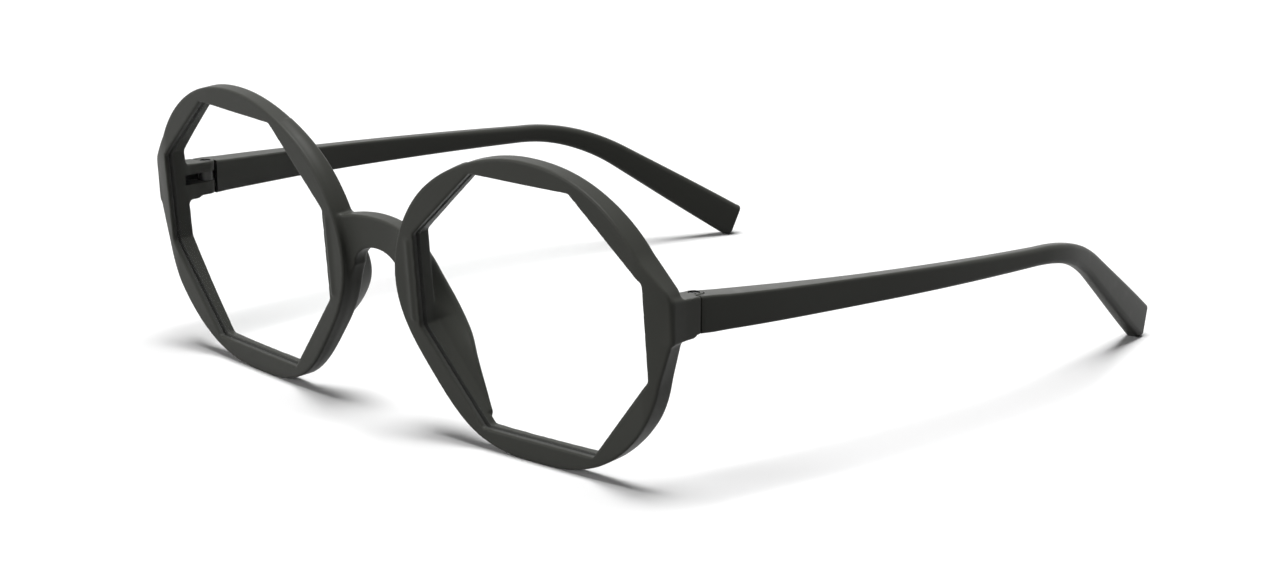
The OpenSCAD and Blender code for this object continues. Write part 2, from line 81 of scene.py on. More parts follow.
RIM_X, RIM_Z = (APERTURE_W + LENS_GAP) / 2, APERTURE_H / 2 + RIM_FOOT
ENDPIECE_X, HINGE_TOP = RIM_X + APERTURE_W / 2 + ENDPIECE_REACH, RIM_Z + HINGE_UP
HINGE_BOTTOM = HINGE_TOP - HINGE_HEIGHT
INNER_X = ENDPIECE_X - HINGE_THICKNESS
AXIS_X, AXIS_Y = INNER_X + TINE_RADIUS, SEAM_Y + AXIS_BACK
SLOT_BOTTOM = HINGE_BOTTOM + SLOT_UP
print("hinge axis at", round(AXIS_X, 2), round(AXIS_Y - STAND_Y, 2))

# %% [markdown]
# ## The moulded front, as a distance field
#
# A mould-maker cuts the front out of one block of steel, and every inside corner keeps the radius of the
# cutter. Joining separate meshes would leave hard creases there. So we describe the front as a *distance
# field*: a formula that says how far any point is from the plastic. Two such fields can be joined or cut
# with a true radius, and the skin is then laid where the distance is zero.

# %% Joining and cutting with a radius
def round_cut(a, b, radius):
    """What lies inside both a and b, with a rounded edge."""
    u, v = np.maximum(a + radius, 0), np.maximum(b + radius, 0)
    return np.minimum(np.maximum(a, b), -radius) + np.hypot(u, v)


def round_join(a, b, radius):
    """What lies in a or b, with a fillet between them."""
    u, v = np.maximum(radius - a, 0), np.maximum(radius - b, 0)
    return np.maximum(np.minimum(a, b), radius) - np.hypot(u, v)


def polygon_distance(x, y, points):
    """Distance to a closed outline, negative inside it."""
    nearest, inside = np.full(x.shape, 1e9), np.zeros(x.shape, bool)
    for (ax, ay), (bx, by) in zip(points, points[1:] + points[:1]):
        ex, ey = bx - ax, by - ay
        t = np.clip(((x - ax) * ex + (y - ay) * ey) / (ex * ex + ey * ey), 0, 1)
        nearest = np.minimum(nearest, (x - ax - t * ex) ** 2 + (y - ay - t * ey) ** 2)
        inside ^= ((ay > y) != (by > y)) & (x < ex * (y - ay) / (ey or 1e-9) + ax)
    return np.where(inside, -1, 1) * np.sqrt(nearest)


# %% [markdown]
# The rim's outside is an ellipse that fits the aperture, plus a width that swells at the endpiece and at
# the nose. Drawn in polar form it is one list of radii, so the corner that runs out to the endpiece can be
# added by taking the larger radius, and a short moving average rounds it.

# %% Outline
def through(a, b, c, d, t):
    """A smooth curve through evenly spaced values."""
    square, cube = a - 2.5 * b + 2 * c - d / 2, 1.5 * (b - c) + (d - a) / 2
    return b + t * (c - a) / 2 + t * t * square + t ** 3 * cube


def plain_radius(degrees):
    """Radius of the rim's outline without its outer corner."""
    angle, u = np.radians(degrees), np.asarray(degrees) % 360 / 30
    i = np.floor(u).astype(int)
    ellipse = APERTURE_W * APERTURE_H / 2 / np.hypot(APERTURE_H * np.cos(angle), APERTURE_W * np.sin(angle))
    return ellipse + RIM_WIDTH * through(*(RIM_SWELL[(i + k) % 12] for k in (-1, 0, 1, 2)), u - i)


def ray_to_corner(degrees):
    """Radius of the straight-sided corner in each direction, 0 where it isn't met."""
    above, below, lean_in, starts = 1.0, 0.6, 0.2, (50, 335)
    side = (ENDPIECE_X - RIM_X) / math.cos(WRAP) + CORNER_SWELL
    upper, lower = [plain_radius(a) * np.array([math.cos(math.radians(a)), math.sin(math.radians(a))])
                    for a in starts]
    corner = [upper, (side, HINGE_UP + above), (side - lean_in, HINGE_UP - HINGE_HEIGHT - below), lower]
    c, s = np.cos(np.radians(degrees)), np.sin(np.radians(degrees))
    radius = np.zeros(c.shape)
    for (x0, y0), (x1, y1) in zip(corner, corner[1:]):
        nx, ny = y0 - y1, x1 - x0
        along = nx * c + ny * s
        r = (nx * x0 + ny * y0) / np.where(abs(along) < 1e-6, 1e-6, along)
        t = ((r * c - x0) * (x1 - x0) + (r * s - y0) * (y1 - y0)) / ((x1 - x0) ** 2 + (y1 - y0) ** 2)
        radius = np.where((r > 0) & (t >= -0.001) & (t <= 1.001), np.maximum(radius, r), radius)
    return radius


TURN = np.arange(0, 360, 0.5)
OUTLINE = np.maximum(plain_radius(TURN), ray_to_corner(TURN))
for _ in range(2):
    OUTLINE = sum(np.roll(OUTLINE, k) for k in range(-3, 4)) / 7


def outline_radius(angle):
    """Radius of the rim's finished outline, for angles in radians."""
    return np.interp(np.degrees(angle) % 360, np.append(TURN, 360), np.append(OUTLINE, OUTLINE[0]))


# %% [markdown]
# The aperture is an octagon with small rounded corners, and a V groove inside it holds the lens. Its flats
# are moved inwards by the corner radius first, and the distance to that smaller octagon, less the radius,
# has round corners.

# %% Octagon
def octagon(grow=0.0):
    """Corners of the octagon, each flat moved outwards by grow."""
    w, h = APERTURE_W / 2, APERTURE_H / 2
    corners = [
        (w, SIDE_TOP), (TOP_FLAT / 2, h), (-TOP_FLAT / 2, h), (-w, SIDE_TOP),
        (-w, -SIDE_BOTTOM), (-BOTTOM_FLAT / 2, -h), (BOTTOM_FLAT / 2, -h), (w, -SIDE_BOTTOM),
    ]
    lines = []
    for (ax, ay), (bx, by) in zip(corners, corners[1:] + corners[:1]):
        nx, ny = by - ay, ax - bx
        length = math.hypot(nx, ny)
        lines.append((nx / length, ny / length, (nx * ax + ny * ay) / length + grow))
    moved = []
    for (a1, b1, c1), (a2, b2, c2) in zip(lines[-1:] + lines[:-1], lines):
        det = a1 * b2 - a2 * b1
        moved.append(((c1 * b2 - c2 * b1) / det, (a1 * c2 - a2 * c1) / det))
    return moved


INSET_OCTAGON = octagon(-APERTURE_CORNER)
print("octagon corners:", [(round(x, 1), round(y, 1)) for x, y in octagon()])


# %% [markdown]
# Each rim lies in its own plane, a little swept back at the temples. At the outer corner the flat front
# sweeps further back and the wall tapers, so the corner turns crisply into the hinge block.

# %% Rim
def corner_share(x):
    """0 along the rim, growing to 1 at the outer corner, where the front sweeps back to the hinge block."""
    return np.clip((x - CORNER_FROM) / (CORNER_TO - CORNER_FROM), 0, 1.2) ** 1.5


def rim_back(x):
    """The back is hollow, and a little deeper again where it meets the hinge block."""
    out = x / (APERTURE_W / 2)
    return RIM_DEPTH + RIM_HOLLOW * out ** 2 + RIM_HEEL * np.clip(out, 0, 1) ** 3


def rim_distance(x, y, z):
    """The rim: its outline, cut by its front and by its hollowed back."""
    angle, r, step = np.arctan2(z, x), np.hypot(x, z), 0.01
    radius = outline_radius(angle)
    slope = (outline_radius(angle + step) - outline_radius(angle - step)) / (2 * step) / radius
    front = CORNER_SWEEP * corner_share(x) - y
    outline = (r - radius) / np.sqrt(1 + slope ** 2)
    outline = outline + CORNER_TAPER * corner_share(x) * np.maximum(-front, 0)
    return round_cut(round_cut(outline, front, FRONT_EDGE), y - rim_back(x), BACK_EDGE)


# %% [markdown]
# The nose pad is not a separate part: it is a blade that grows out of the rim's nose side. So its reach and
# its splay change with the angle round the rim, and it fades into the rim at both ends.

# %% Nose pad and aperture
def pad_distance(x, y, z):
    """A blade along the rim's nose side, cut off by a slope that starts at the aperture's wall."""
    angle, r = np.arctan2(z, x), np.hypot(x, z)
    radius = outline_radius(angle)
    u = np.clip((np.degrees(angle) % 360 - PAD_FIRST) / (PAD_LAST - PAD_FIRST), 0, 1)
    last = len(PAD_SHARE) - 1
    i = np.minimum(np.floor(u * last).astype(int), last - 1)
    share = through(PAD_SHARE[np.maximum(i - 1, 0)], PAD_SHARE[i], PAD_SHARE[i + 1],
                    PAD_SHARE[np.minimum(i + 2, last)], u * last - i)
    root_in, root_y, tip_in, flare = 0.35, 1.9, 0.1, 0.6
    root_r = radius - PAD_RADIUS - root_in
    tip_r = radius - PAD_SPLAY * np.sin(np.pi * u) ** flare - PAD_RADIUS - tip_in
    tip_y = PAD_DEPTH * share - PAD_RADIUS
    er, ey = tip_r - root_r, tip_y - root_y
    t = np.clip(((r - root_r) * er + (y - root_y) * ey) / (er ** 2 + ey ** 2 + 1e-9), 0, 1)
    blade = np.hypot(r - root_r - t * er, y - root_y - t * ey) - PAD_RADIUS
    both_ends = 6 * np.abs(u - 0.5) - 2.9
    return np.maximum(blade, both_ends)


def aperture_distance(x, y, z):
    """Distances to the opening's wall and to the V groove in it."""
    hole = polygon_distance(x, z, INSET_OCTAGON) - APERTURE_CORNER
    steep = GROOVE_DEPTH / (GROOVE_WIDTH / 2)
    groove = (hole - GROOVE_DEPTH + np.abs(y - GROOVE_Y) * steep) / math.hypot(1, steep)
    return hole, groove


# %% [markdown]
# The bridge stands back from the rims' front faces, with an arch under it for the nose. The endpieces
# carry the hinges: seen from above each is a block that ends in two round tines.

# %% Bridge and endpiece
def bridge_distance(x, y, z):
    """An arched bar, bowed in front and behind."""
    reach, crown, arch_wide, arch_high = 0.45 * LENS_GAP, LENS_GAP / 3, LENS_GAP / 4, LENS_GAP / 6
    drop, forward, front_bow, back_bow, front_edge, back_edge = 0.9, 0.5, 1.7, 1.2, 0.3, 0.8
    face = [(reach * t, BRIDGE_TOP - drop * (reach * t / crown) ** 2) for t in np.linspace(-1, 1, 49)]
    face += [(reach, -0.5 * reach), (1.6 * arch_wide, -0.5 * reach)]
    face += [(arch_wide * math.cos(a), BRIDGE_ARCH - arch_high + arch_high * math.sin(a))
             for a in np.linspace(0, math.pi, 49)]
    face += [(-1.6 * arch_wide, -0.5 * reach), (-reach, -0.5 * reach)]
    front = -forward - front_bow * (x / reach) ** 4 - y
    back = y - (BRIDGE_DEPTH - forward - back_bow * (x / reach) ** 2)
    return round_cut(round_cut(polygon_distance(x, z, face), front, front_edge), back, back_edge)


def endpiece_distance(x, y, z):
    """The hinge block, where its top view with the tines meets its side view."""
    face_y, corner, swell, crescent, crescent_y = 3.7, 0.4, CORNER_SWELL - 0.2, 1.5, 5.0
    deeper, step_y, step_z, end_y = 0.5, 0.8, 0.4, 15.0
    arc = [(ENDPIECE_X + swell - corner + corner * math.cos(a), face_y + corner + corner * math.sin(a))
           for a in np.linspace(-math.pi / 2, 0, 9)]
    top_view = [(INNER_X - 2 * crescent, face_y), (INNER_X + crescent, face_y)] + arc
    top_view += [
        (ENDPIECE_X, SEAM_Y - SEAM_GAP), (AXIS_X + TINE_RADIUS, SEAM_Y - SEAM_GAP),
        (AXIS_X + TINE_RADIUS, AXIS_Y), (INNER_X, AXIS_Y), (INNER_X, crescent_y + 1),
        (INNER_X - crescent, crescent_y),
    ]
    side_view = [
        (0.0, HINGE_TOP + deeper), (SEAM_Y, HINGE_TOP), (end_y, HINGE_TOP), (end_y, HINGE_BOTTOM),
        (SEAM_Y - step_y, HINGE_BOTTOM), (SEAM_Y - 2 * step_y, HINGE_BOTTOM - step_z),
        (2 * crescent, HINGE_BOTTOM - deeper), (0.0, HINGE_BOTTOM - deeper),
    ]
    tines = np.hypot(x - AXIS_X, y - AXIS_Y) - TINE_RADIUS
    plan = np.minimum(polygon_distance(x, y, top_view), tines)
    return round_cut(plan, polygon_distance(y, z, side_view), HINGE_EDGE)


# %% [markdown]
# Now the parts are joined with fillets. Pads, bridge and endpieces are only worked out in the zones across
# the face that they can reach.

# %% The whole front
HINGE_ZONE, PAD_ZONE, BRIDGE_ZONE = 56, 24, 14


def front_distance(x, y, z):
    """The whole front, before its hinge is machined. Both halves are alike, so |x| is enough."""
    x = np.abs(x)
    lift = z - RIM_Z
    yf, zf = y * math.cos(LEAN) + lift * math.sin(LEAN), lift * math.cos(LEAN) - y * math.sin(LEAN)
    xr = (x - RIM_X) * math.cos(WRAP) + yf * math.sin(WRAP)
    yr = yf * math.cos(WRAP) - (x - RIM_X) * math.sin(WRAP)
    solid = rim_distance(xr, yr, zf)
    hole, groove = aperture_distance(xr, yr, zf)
    near = x > HINGE_ZONE
    solid[near] = round_join(solid[near], endpiece_distance(x[near], y[near], z[near]), ENDPIECE_FILLET)
    solid = round_cut(solid, -hole, APERTURE_EDGE)
    near = x < PAD_ZONE
    pad = pad_distance(xr[near], yr[near], zf[near])
    clear, lap, steep = 0.8, 0.9, 1.4
    behind = np.maximum(0, yr[near] - rim_back(xr[near]) + lap)
    pad = round_cut(pad, (clear - hole[near] - behind) / steep, PAD_EDGE)
    solid[near] = round_join(solid[near], pad, PAD_FILLET)
    near = x < BRIDGE_ZONE
    solid[near] = round_join(solid[near], bridge_distance(x[near], yf[near], zf[near]), BRIDGE_FILLET)
    return np.maximum(solid, -groove)


# %% [markdown]
# ## Laying the skin
#
# The field is sampled at the corners of small cells. Most of the box is empty air, so it is tested in
# coarse blocks first, and only the blocks near the surface are worked out.

# %% Sample the field
def field_values(distance, low, cells, cell, block=8):
    """Distances at the corners of the cells; far from the surface only the sign is right."""
    blocks = np.argwhere(np.ones([n // block for n in cells], bool))
    middles = low + (blocks + 0.5) * block * cell
    rough = distance(*middles.T)
    values = np.full([n + 1 for n in cells], 9.0, np.float32)
    wanted = np.zeros([n + 1 for n in cells], bool)
    reach = 0.5 * block * cell * math.sqrt(3) * 1.5
    for (i, j, k), d in zip(blocks * block, rough):
        place = np.s_[i:i + block + 1, j:j + block + 1, k:k + block + 1]
        if abs(d) < reach:
            wanted[place] = True
        elif d < 0:
            values[place] = -9.0
    spots = np.argwhere(wanted)
    values[wanted] = np.concatenate([
        distance(*(low + chunk * cell).T) for chunk in np.array_split(spots, max(1, len(spots) // 200000))
    ])
    return values


# %% [markdown]
# *Surface nets* put one point in every cell that the surface passes through, at the mean of the crossings
# on its edges. Each edge that crosses the surface joins the four cells round it with a quad.

# %% Surface nets
def lay_skin(distance, low, high, cell):
    """Points and quads of the surface inside a box."""
    low = np.array(low, float)
    cells = [int(math.ceil((h - l) / cell / 8)) * 8 for l, h in zip(low, high)]
    values = field_values(distance, low, cells, cell)
    inside = values < 0
    corners = [(a, b, c) for a in (0, 1) for b in (0, 1) for c in (0, 1)]
    nx, ny, nz = cells
    count = sum(inside[a:nx + a, b:ny + b, c:nz + c].astype(np.int8) for a, b, c in corners)
    mixed = (count > 0) & (count < 8)
    index = np.full(cells, -1)
    base = np.argwhere(mixed)
    index[mixed] = np.arange(len(base))
    total, hits = np.zeros((len(base), 3)), np.zeros(len(base))
    for axis in range(3):
        for a in corners:
            if a[axis]:
                continue
            b = tuple(v + (n == axis) for n, v in enumerate(a))
            fa, fb = values[tuple((base + a).T)], values[tuple((base + b).T)]
            cross = (fa < 0) != (fb < 0)
            t = np.where(cross, fa / np.where(fa == fb, 1, fa - fb), 0)
            total += np.where(cross[:, None], np.array(a) + t[:, None] * (np.array(b) - a), 0)
            hits += cross
    points = low + (base + total / hits[:, None]) * cell
    quads = []
    for axis in range(3):
        u, v = (axis + 1) % 3, (axis + 2) % 3
        lower = inside.take(range(cells[axis]), axis)
        upper = inside.take(range(1, cells[axis] + 1), axis)
        edges = np.argwhere(lower != upper)
        eu, ev = edges[:, u], edges[:, v]
        edges = edges[(eu > 0) & (ev > 0) & (eu < cells[u]) & (ev < cells[v])]
        ring = []
        for du, dv in ((-1, -1), (0, -1), (0, 0), (-1, 0)):
            spot = edges.copy()
            spot[:, u] += du
            spot[:, v] += dv
            ring.append(index[tuple(spot.T)])
        ring = np.stack(ring, 1)
        out = lower[tuple(edges.T)]
        quads.append(np.where(out[:, None], ring, ring[:, ::-1]))
    return points, np.concatenate(quads)


# %% [markdown]
# Each point is then slid along the field's slope on to the surface itself. Between the slides it is relaxed
# sideways, so that the quads come out even.

# %% Settle the points
def settle(distance, points, quads, cell, rounds=4):
    """Slides the points on to the surface and evens out the quads."""
    h = 0.01
    steps = np.eye(3) * h
    pairs = np.concatenate([quads[:, [0, 1]], quads[:, [1, 2]], quads[:, [2, 3]], quads[:, [3, 0]]])
    pairs = np.concatenate([pairs, pairs[:, ::-1]])
    degree = np.bincount(pairs[:, 0], minlength=len(points))[:, None]
    for turn in range(rounds):
        slope = np.stack(
            [(distance(*(points + step).T) - distance(*(points - step).T)) / (2 * h) for step in steps], 1)
        steep = np.maximum((slope ** 2).sum(1), 0.2)
        move = slope * (distance(*points.T) / steep)[:, None]
        points = points - np.clip(move, -cell / 2, cell / 2)
        if turn < rounds - 2:
            columns = points[pairs[:, 1]].T
            total = np.stack([np.bincount(pairs[:, 0], column, len(points)) for column in columns], 1)
            drift = total / degree - points
            normal = slope / np.sqrt(steep)[:, None]
            points = points + 0.5 * (drift - normal * (drift * normal).sum(1)[:, None])
    return points


# %% [markdown]
# Now the front is laid at a cell of about 0.3 mm, about the size of the smallest moulded radius.

# %% Make the front's skin
CELL = 0.29


def new_piece(name, points, faces, smooth=True):
    """A mesh object from points in millimetres, measured from the front's plane."""
    mesh = bpy.data.meshes.new(name)
    placed = (np.asarray(points, float) - np.array([0, STAND_Y, 0])) * MM
    mesh.from_pydata([tuple(p) for p in placed], [], [tuple(int(i) for i in f) for f in faces])
    mesh.validate()
    piece = bpy.data.objects.new(name, mesh)
    bpy.context.scene.collection.objects.link(piece)
    if smooth:
        mesh.shade_smooth()
    return piece


skin_points, skin_quads = lay_skin(front_distance, (-72, -6, -1), (72, 15, 55), CELL)
skin_points = settle(front_distance, skin_points, skin_quads, CELL)
front_skin = new_piece("front_skin", skin_points, skin_quads)
print("front skin:", len(skin_points), "points,", len(skin_quads), "quads")

# %% [markdown]
# ## Machining the hinge
#
# Holes and slots are cut as a toolmaker would: with exact cylinders and blocks, taken away from the skin.

# %% Cutters
def block(low, high):
    """Points and faces of an upright block."""
    (x0, y0, z0), (x1, y1, z1) = low, high
    points = [(x, y, z) for x in (x0, x1) for y in (y0, y1) for z in (z0, z1)]
    faces = [(0, 1, 3, 2), (4, 6, 7, 5), (0, 4, 5, 1), (2, 3, 7, 6), (0, 2, 6, 4), (1, 5, 7, 3)]
    return points, faces


def rod(x, y, z0, z1, radius, sides=64):
    """Points and faces of an upright cylinder."""
    ring = [(x + radius * math.cos(2 * math.pi * i / sides), y + radius * math.sin(2 * math.pi * i / sides))
            for i in range(sides)]
    points = [(a, b, z0) for a, b in ring] + [(a, b, z1) for a, b in ring]
    faces = [tuple(range(sides - 1, -1, -1)), tuple(range(sides, 2 * sides))]
    faces += [(i, (i + 1) % sides, sides + (i + 1) % sides, sides + i) for i in range(sides)]
    return points, faces


# %% [markdown]
# A Boolean modifier does the cut, and we keep only its result, so that the piece is a plain mesh. The faces
# that a cutter leaves take its material slot, the second one: duller than a moulded face, and painted near
# black as painted shade for the inside of slots and bores.

# %% Cut and keep
def keep_result(piece, modifier):
    """Makes what the modifier shows the piece's own mesh."""
    graph = bpy.context.evaluated_depsgraph_get()
    result = bpy.data.meshes.new_from_object(piece.evaluated_get(graph))
    piece.modifiers.remove(modifier)
    old, piece.data = piece.data, result
    bpy.data.meshes.remove(old)


def two_slots(mesh):
    """Empty material slots: the first for moulded faces, the second for cut ones."""
    for _ in range(2):
        mesh.materials.append(None)


def cut_away(piece, cutters, keep_sharp=60):
    """Takes the cutters out of the piece and keeps the result as its mesh."""
    two_slots(piece.data)
    for n, (points, faces) in enumerate(cutters):
        tool = new_piece("tool_%d" % n, points, faces, smooth=False)
        two_slots(tool.data)
        for face in tool.data.polygons:
            face.material_index = 1
        cut = piece.modifiers.new("cut", "BOOLEAN")
        cut.operation, cut.solver, cut.object = "DIFFERENCE", "EXACT", tool
        keep_result(piece, cut)
        bpy.data.objects.remove(tool)
    piece.data.shade_smooth()
    piece.data.set_sharp_from_angle(angle=math.radians(keep_sharp))


def both_sides(cutter):
    """The cutter and its mirror image."""
    points, faces = cutter
    mirrored = [(-x, y, z) for x, y, z in points]
    return [cutter, (mirrored, [tuple(reversed(f)) for f in faces])]


# %% [markdown]
# Each side of the front gets the slot for the slider's eye, the bore for the screw, the seat for its head
# and the pocket for the threaded insert.

# %% Machine the front
HEAD_RADIUS, HEAD_HEIGHT, HEAD_SINK, HEAD_GAP = 0.9, 0.6, 0.15, 0.1
SCREW_RADIUS, SCREW_CLEARANCE, INSERT_RADIUS, INSERT_HEIGHT = 0.6, 0.04, 1.0, 1.8
EYE_GAP, OVERCUT, OVERLAP = 0.25, 2, 0.5
slot_low = INNER_X - 6, AXIS_Y - SLOT_FRONT, SLOT_BOTTOM
slot_high = AXIS_X + EYE_RADIUS + EYE_GAP, AXIS_Y + TINE_RADIUS + 1, SLOT_BOTTOM + SLOT_HEIGHT
head_seat, above = HINGE_TOP - HEAD_HEIGHT - HEAD_SINK, HINGE_TOP + OVERCUT
front_cuts = []
for cutter in (
    block(slot_low, slot_high),
    rod(AXIS_X, AXIS_Y, SLOT_BOTTOM + OVERLAP, above, SCREW_RADIUS + SCREW_CLEARANCE),
    rod(AXIS_X, AXIS_Y, head_seat, above, HEAD_RADIUS + HEAD_GAP),
    rod(AXIS_X, AXIS_Y, SLOT_BOTTOM - INSERT_HEIGHT, SLOT_BOTTOM + OVERLAP, INSERT_RADIUS),
):
    front_cuts += both_sides(cutter)
cut_away(front_skin, front_cuts)
print("front after machining:", len(front_skin.data.polygons), "faces")

# %% [markdown]
# ## The temples, swept with Geometry Nodes
#
# A temple is one section carried along one path: tall and thick at the hinge, slim over the temple,
# then bent down behind the ear and flared at the tip. That is a rule, so it is made by a rule. A polyline
# carries the path, and its points carry the section's directions and half sizes. The node tree sweeps a
# ring along it and moves each ring point to its place on a rounded rectangle. The functions of s below give
# the section and the direction at a distance s along the temple.

# %% The path and its sections
YAW_FRONT, YAW_EAR, YAW_TIP, PITCH_FRONT, PITCH_TIP = 8.0, 5.0, 19.2, 3.0, 32.0
STRAIGHT, BEND_RADIUS, TIP_LENGTH = 82.0, 46.0, 33.0
TEMPLE_THICKNESS, EAR_HEIGHT, TIP_HEIGHT, TIP_THICKER, TIP_END_Y = 2.8, 3.3, 6.8, 0.5, 139.3
TAPER_FROM, TAPER_TO, ROUND_FROM, TURN_LENGTH, START_S = 6, 40, 30, 14, -2.0
TEMPLE_EDGE, EDGE_GROWS, TIP_ROUND, TIP_SLANT, TIP_FALL = 0.45, 0.6, 0.55, 2.9, 0.62
EAR_S = STRAIGHT + BEND_RADIUS * math.radians(PITCH_TIP - PITCH_FRONT)
END_S = EAR_S + TIP_LENGTH
SEAM_MIDDLE = Vector((ENDPIECE_X - HINGE_THICKNESS / 2, SEAM_Y, (HINGE_TOP + HINGE_BOTTOM) / 2))


def ramp(s, start, end):
    """Cosine step from 0 to 1."""
    t = min(1, max(0, (s - start) / (end - start)))
    return (1 - math.cos(math.pi * t)) / 2


def pitch_at(s):
    return -PITCH_FRONT - (PITCH_TIP - PITCH_FRONT) * min(1, max(0, (s - STRAIGHT) / (EAR_S - STRAIGHT)))


def yaw_at(s):
    if s < STRAIGHT:
        return YAW_FRONT - (YAW_FRONT + YAW_EAR) * s / STRAIGHT
    return -YAW_EAR - (YAW_TIP - YAW_EAR) * min(1, (s - STRAIGHT) / TURN_LENGTH)


def thick_at(s):
    slim = (HINGE_THICKNESS - TEMPLE_THICKNESS) * ramp(s, TAPER_FROM, TAPER_TO)
    return HINGE_THICKNESS - slim + TIP_THICKER * ramp(s, EAR_S, END_S)


def high_at(s):
    if s < STRAIGHT:
        return HINGE_HEIGHT - (HINGE_HEIGHT - EAR_HEIGHT) * (max(0, s) / STRAIGHT) ** 0.85
    return EAR_HEIGHT + (TIP_HEIGHT - EAR_HEIGHT) * ramp(s, STRAIGHT - 6, END_S + 6)


def corner_at(s):
    return TEMPLE_EDGE + EDGE_GROWS * ramp(s, ROUND_FROM, STRAIGHT + 10)


def direction(s):
    yaw, pitch = math.radians(yaw_at(s)), math.radians(pitch_at(s))
    return Vector((math.sin(yaw) * math.cos(pitch), math.cos(yaw) * math.cos(pitch), math.sin(pitch)))


# %% [markdown]
# The path is walked in steps of one millimetre until it reaches the table. At each step a station notes
# the section there. The first and last stations are then replaced: the seam needs an upright end, and the
# tip is cut off at a slant.

# %% Stations
def temple_stations():
    """Each station: top and bottom of the section's middle line, sideways direction, half width, corner."""
    stations, s = [], START_S
    p = SEAM_MIDDLE + START_S * direction(0)
    while s <= END_S:
        yaw = math.radians(yaw_at(s))
        across = Vector((math.cos(yaw), -math.sin(yaw), 0))
        upward = across.cross(direction(s))
        half = high_at(s) / 2
        if p.z - half * upward.z < 0:
            break
        stations.append([p + half * upward, p - half * upward, across, thick_at(s) / 2, corner_at(s)])
        p = p + direction(s + 0.5)
        s += 1
    return stations


def at_seam(stations):
    """Starts the temple on the seam's upright plane, with a small edge round it."""
    across, up = Vector((1, 0, 0)), Vector((0, 0, 1))
    slope = Vector((math.tan(math.radians(YAW_FRONT)), 1, -math.tan(math.radians(PITCH_FRONT))))
    half_x, half_z = HINGE_THICKNESS / 2 / math.cos(math.radians(YAW_FRONT)), HINGE_HEIGHT / 2
    head = []
    for inset, back in ((0.16, 0.0), (0.05, 0.05), (0.0, 0.16), (0.0, 1.0), (0.0, 2.5)):
        middle, reach = SEAM_MIDDLE + slope * back, up * (half_z - inset)
        head.append([middle + reach, middle - reach, across, half_x - inset, TEMPLE_EDGE])
    return head + [st for st in stations if (st[0].y + st[1].y) / 2 > SEAM_Y + 5]


def at_tip(stations):
    """Fans the last sections out over the table and rounds the slanted end."""
    top, bottom, across, half, corner = stations[-1]
    drift = math.tan(math.radians(YAW_TIP))
    top_run, bottom_run = TIP_END_Y - TIP_ROUND - top.y, TIP_END_Y - TIP_SLANT - bottom.y
    top_end = top + Vector((-drift, 1, -TIP_FALL)) * top_run
    bottom_end = Vector((bottom.x - drift * bottom_run, bottom.y + bottom_run, 0.0))
    for t in (0.25, 0.5, 0.75, 1.0):
        stations.append([top.lerp(top_end, t), bottom.lerp(bottom_end, t), across, half, corner])
    out, up = Vector((-drift, 1, 0)).normalized(), (top_end - bottom_end).normalized()
    for angle in (math.radians(30), math.radians(60), math.radians(90)):
        push, pull = TIP_ROUND * math.sin(angle), TIP_ROUND * (1 - math.cos(angle))
        stations.append([top_end + out * push - up * pull, bottom_end + out * push + up * pull, across,
                         half - pull, corner - 0.6 * pull])
    return stations


temple_path = at_tip(at_seam(temple_stations()))
print("temple stations:", len(temple_path), "ending at", [round(v, 2) for v in temple_path[-1][0]])

# %% [markdown]
# The tree: *Mesh to Curve* turns the polyline into a rail, *Curve to Mesh* carries a ring along it, and
# *Set Position* works out the rounded rectangle from the values stored on rail and ring.

# %% Helpers for node trees
def socket(tree, name, kind, in_out="INPUT", value=None):
    """Adds an input or output to a node group's interface."""
    made = tree.interface.new_socket(name, in_out=in_out, socket_type=kind)
    if value is not None:
        made.default_value = value


def feed(tree, node, inputs):
    """Gives each named or numbered input a value, or a link from an output."""
    for key, value in inputs.items():
        if isinstance(value, bpy.types.NodeSocket):
            tree.links.new(value, node.inputs[key])
        else:
            node.inputs[key].default_value = value


def add(tree, kind, inputs=None, **settings):
    """A new node with its settings made and its inputs fed."""
    node = tree.nodes.new(kind)
    for key, value in settings.items():
        setattr(node, key, value)
    feed(tree, node, inputs or {})
    return node


def calc(tree, operation, *values, kind="ShaderNodeMath"):
    return add(tree, kind, dict(enumerate(values)), operation=operation).outputs[0]


def combine(tree, *values):
    return add(tree, "ShaderNodeCombineXYZ", dict(enumerate(values))).outputs[0]


def stored(tree, name, kind="FLOAT_VECTOR"):
    node = add(tree, "GeometryNodeInputNamedAttribute", {"Name": name}, data_type=kind)
    return node.outputs["Attribute"]


def store(tree, geometry, name, value):
    node = add(tree, "GeometryNodeStoreNamedAttribute", data_type="FLOAT_VECTOR", domain="POINT")
    feed(tree, node, {"Name": name, "Geometry": geometry, "Value": value})
    return node.outputs["Geometry"]


def sweep_mesh(tree, curve, profile):
    inputs = {"Curve": curve, "Profile Curve": profile, "Fill Caps": True}
    return add(tree, "GeometryNodeCurveToMesh", inputs).outputs["Mesh"]


def close_tree(tree, entry, geometry):
    """Ends a tree with real, painted geometry."""
    real = add(tree, "GeometryNodeRealizeInstances", {"Geometry": geometry})
    paint = add(tree, "GeometryNodeSetMaterial",
                {"Geometry": real.outputs["Geometry"], "Material": entry.outputs["Material"]})
    add(tree, "NodeGroupOutput", {"Mesh": paint.outputs["Geometry"]})


# %% [markdown]
# The ring's points are numbered, so their number says which corner of the rectangle they belong to (the
# *signs*) and how far round that corner they are (the *arcs*). Along the path each ring point then goes to
# middle + across * x + upward * y.

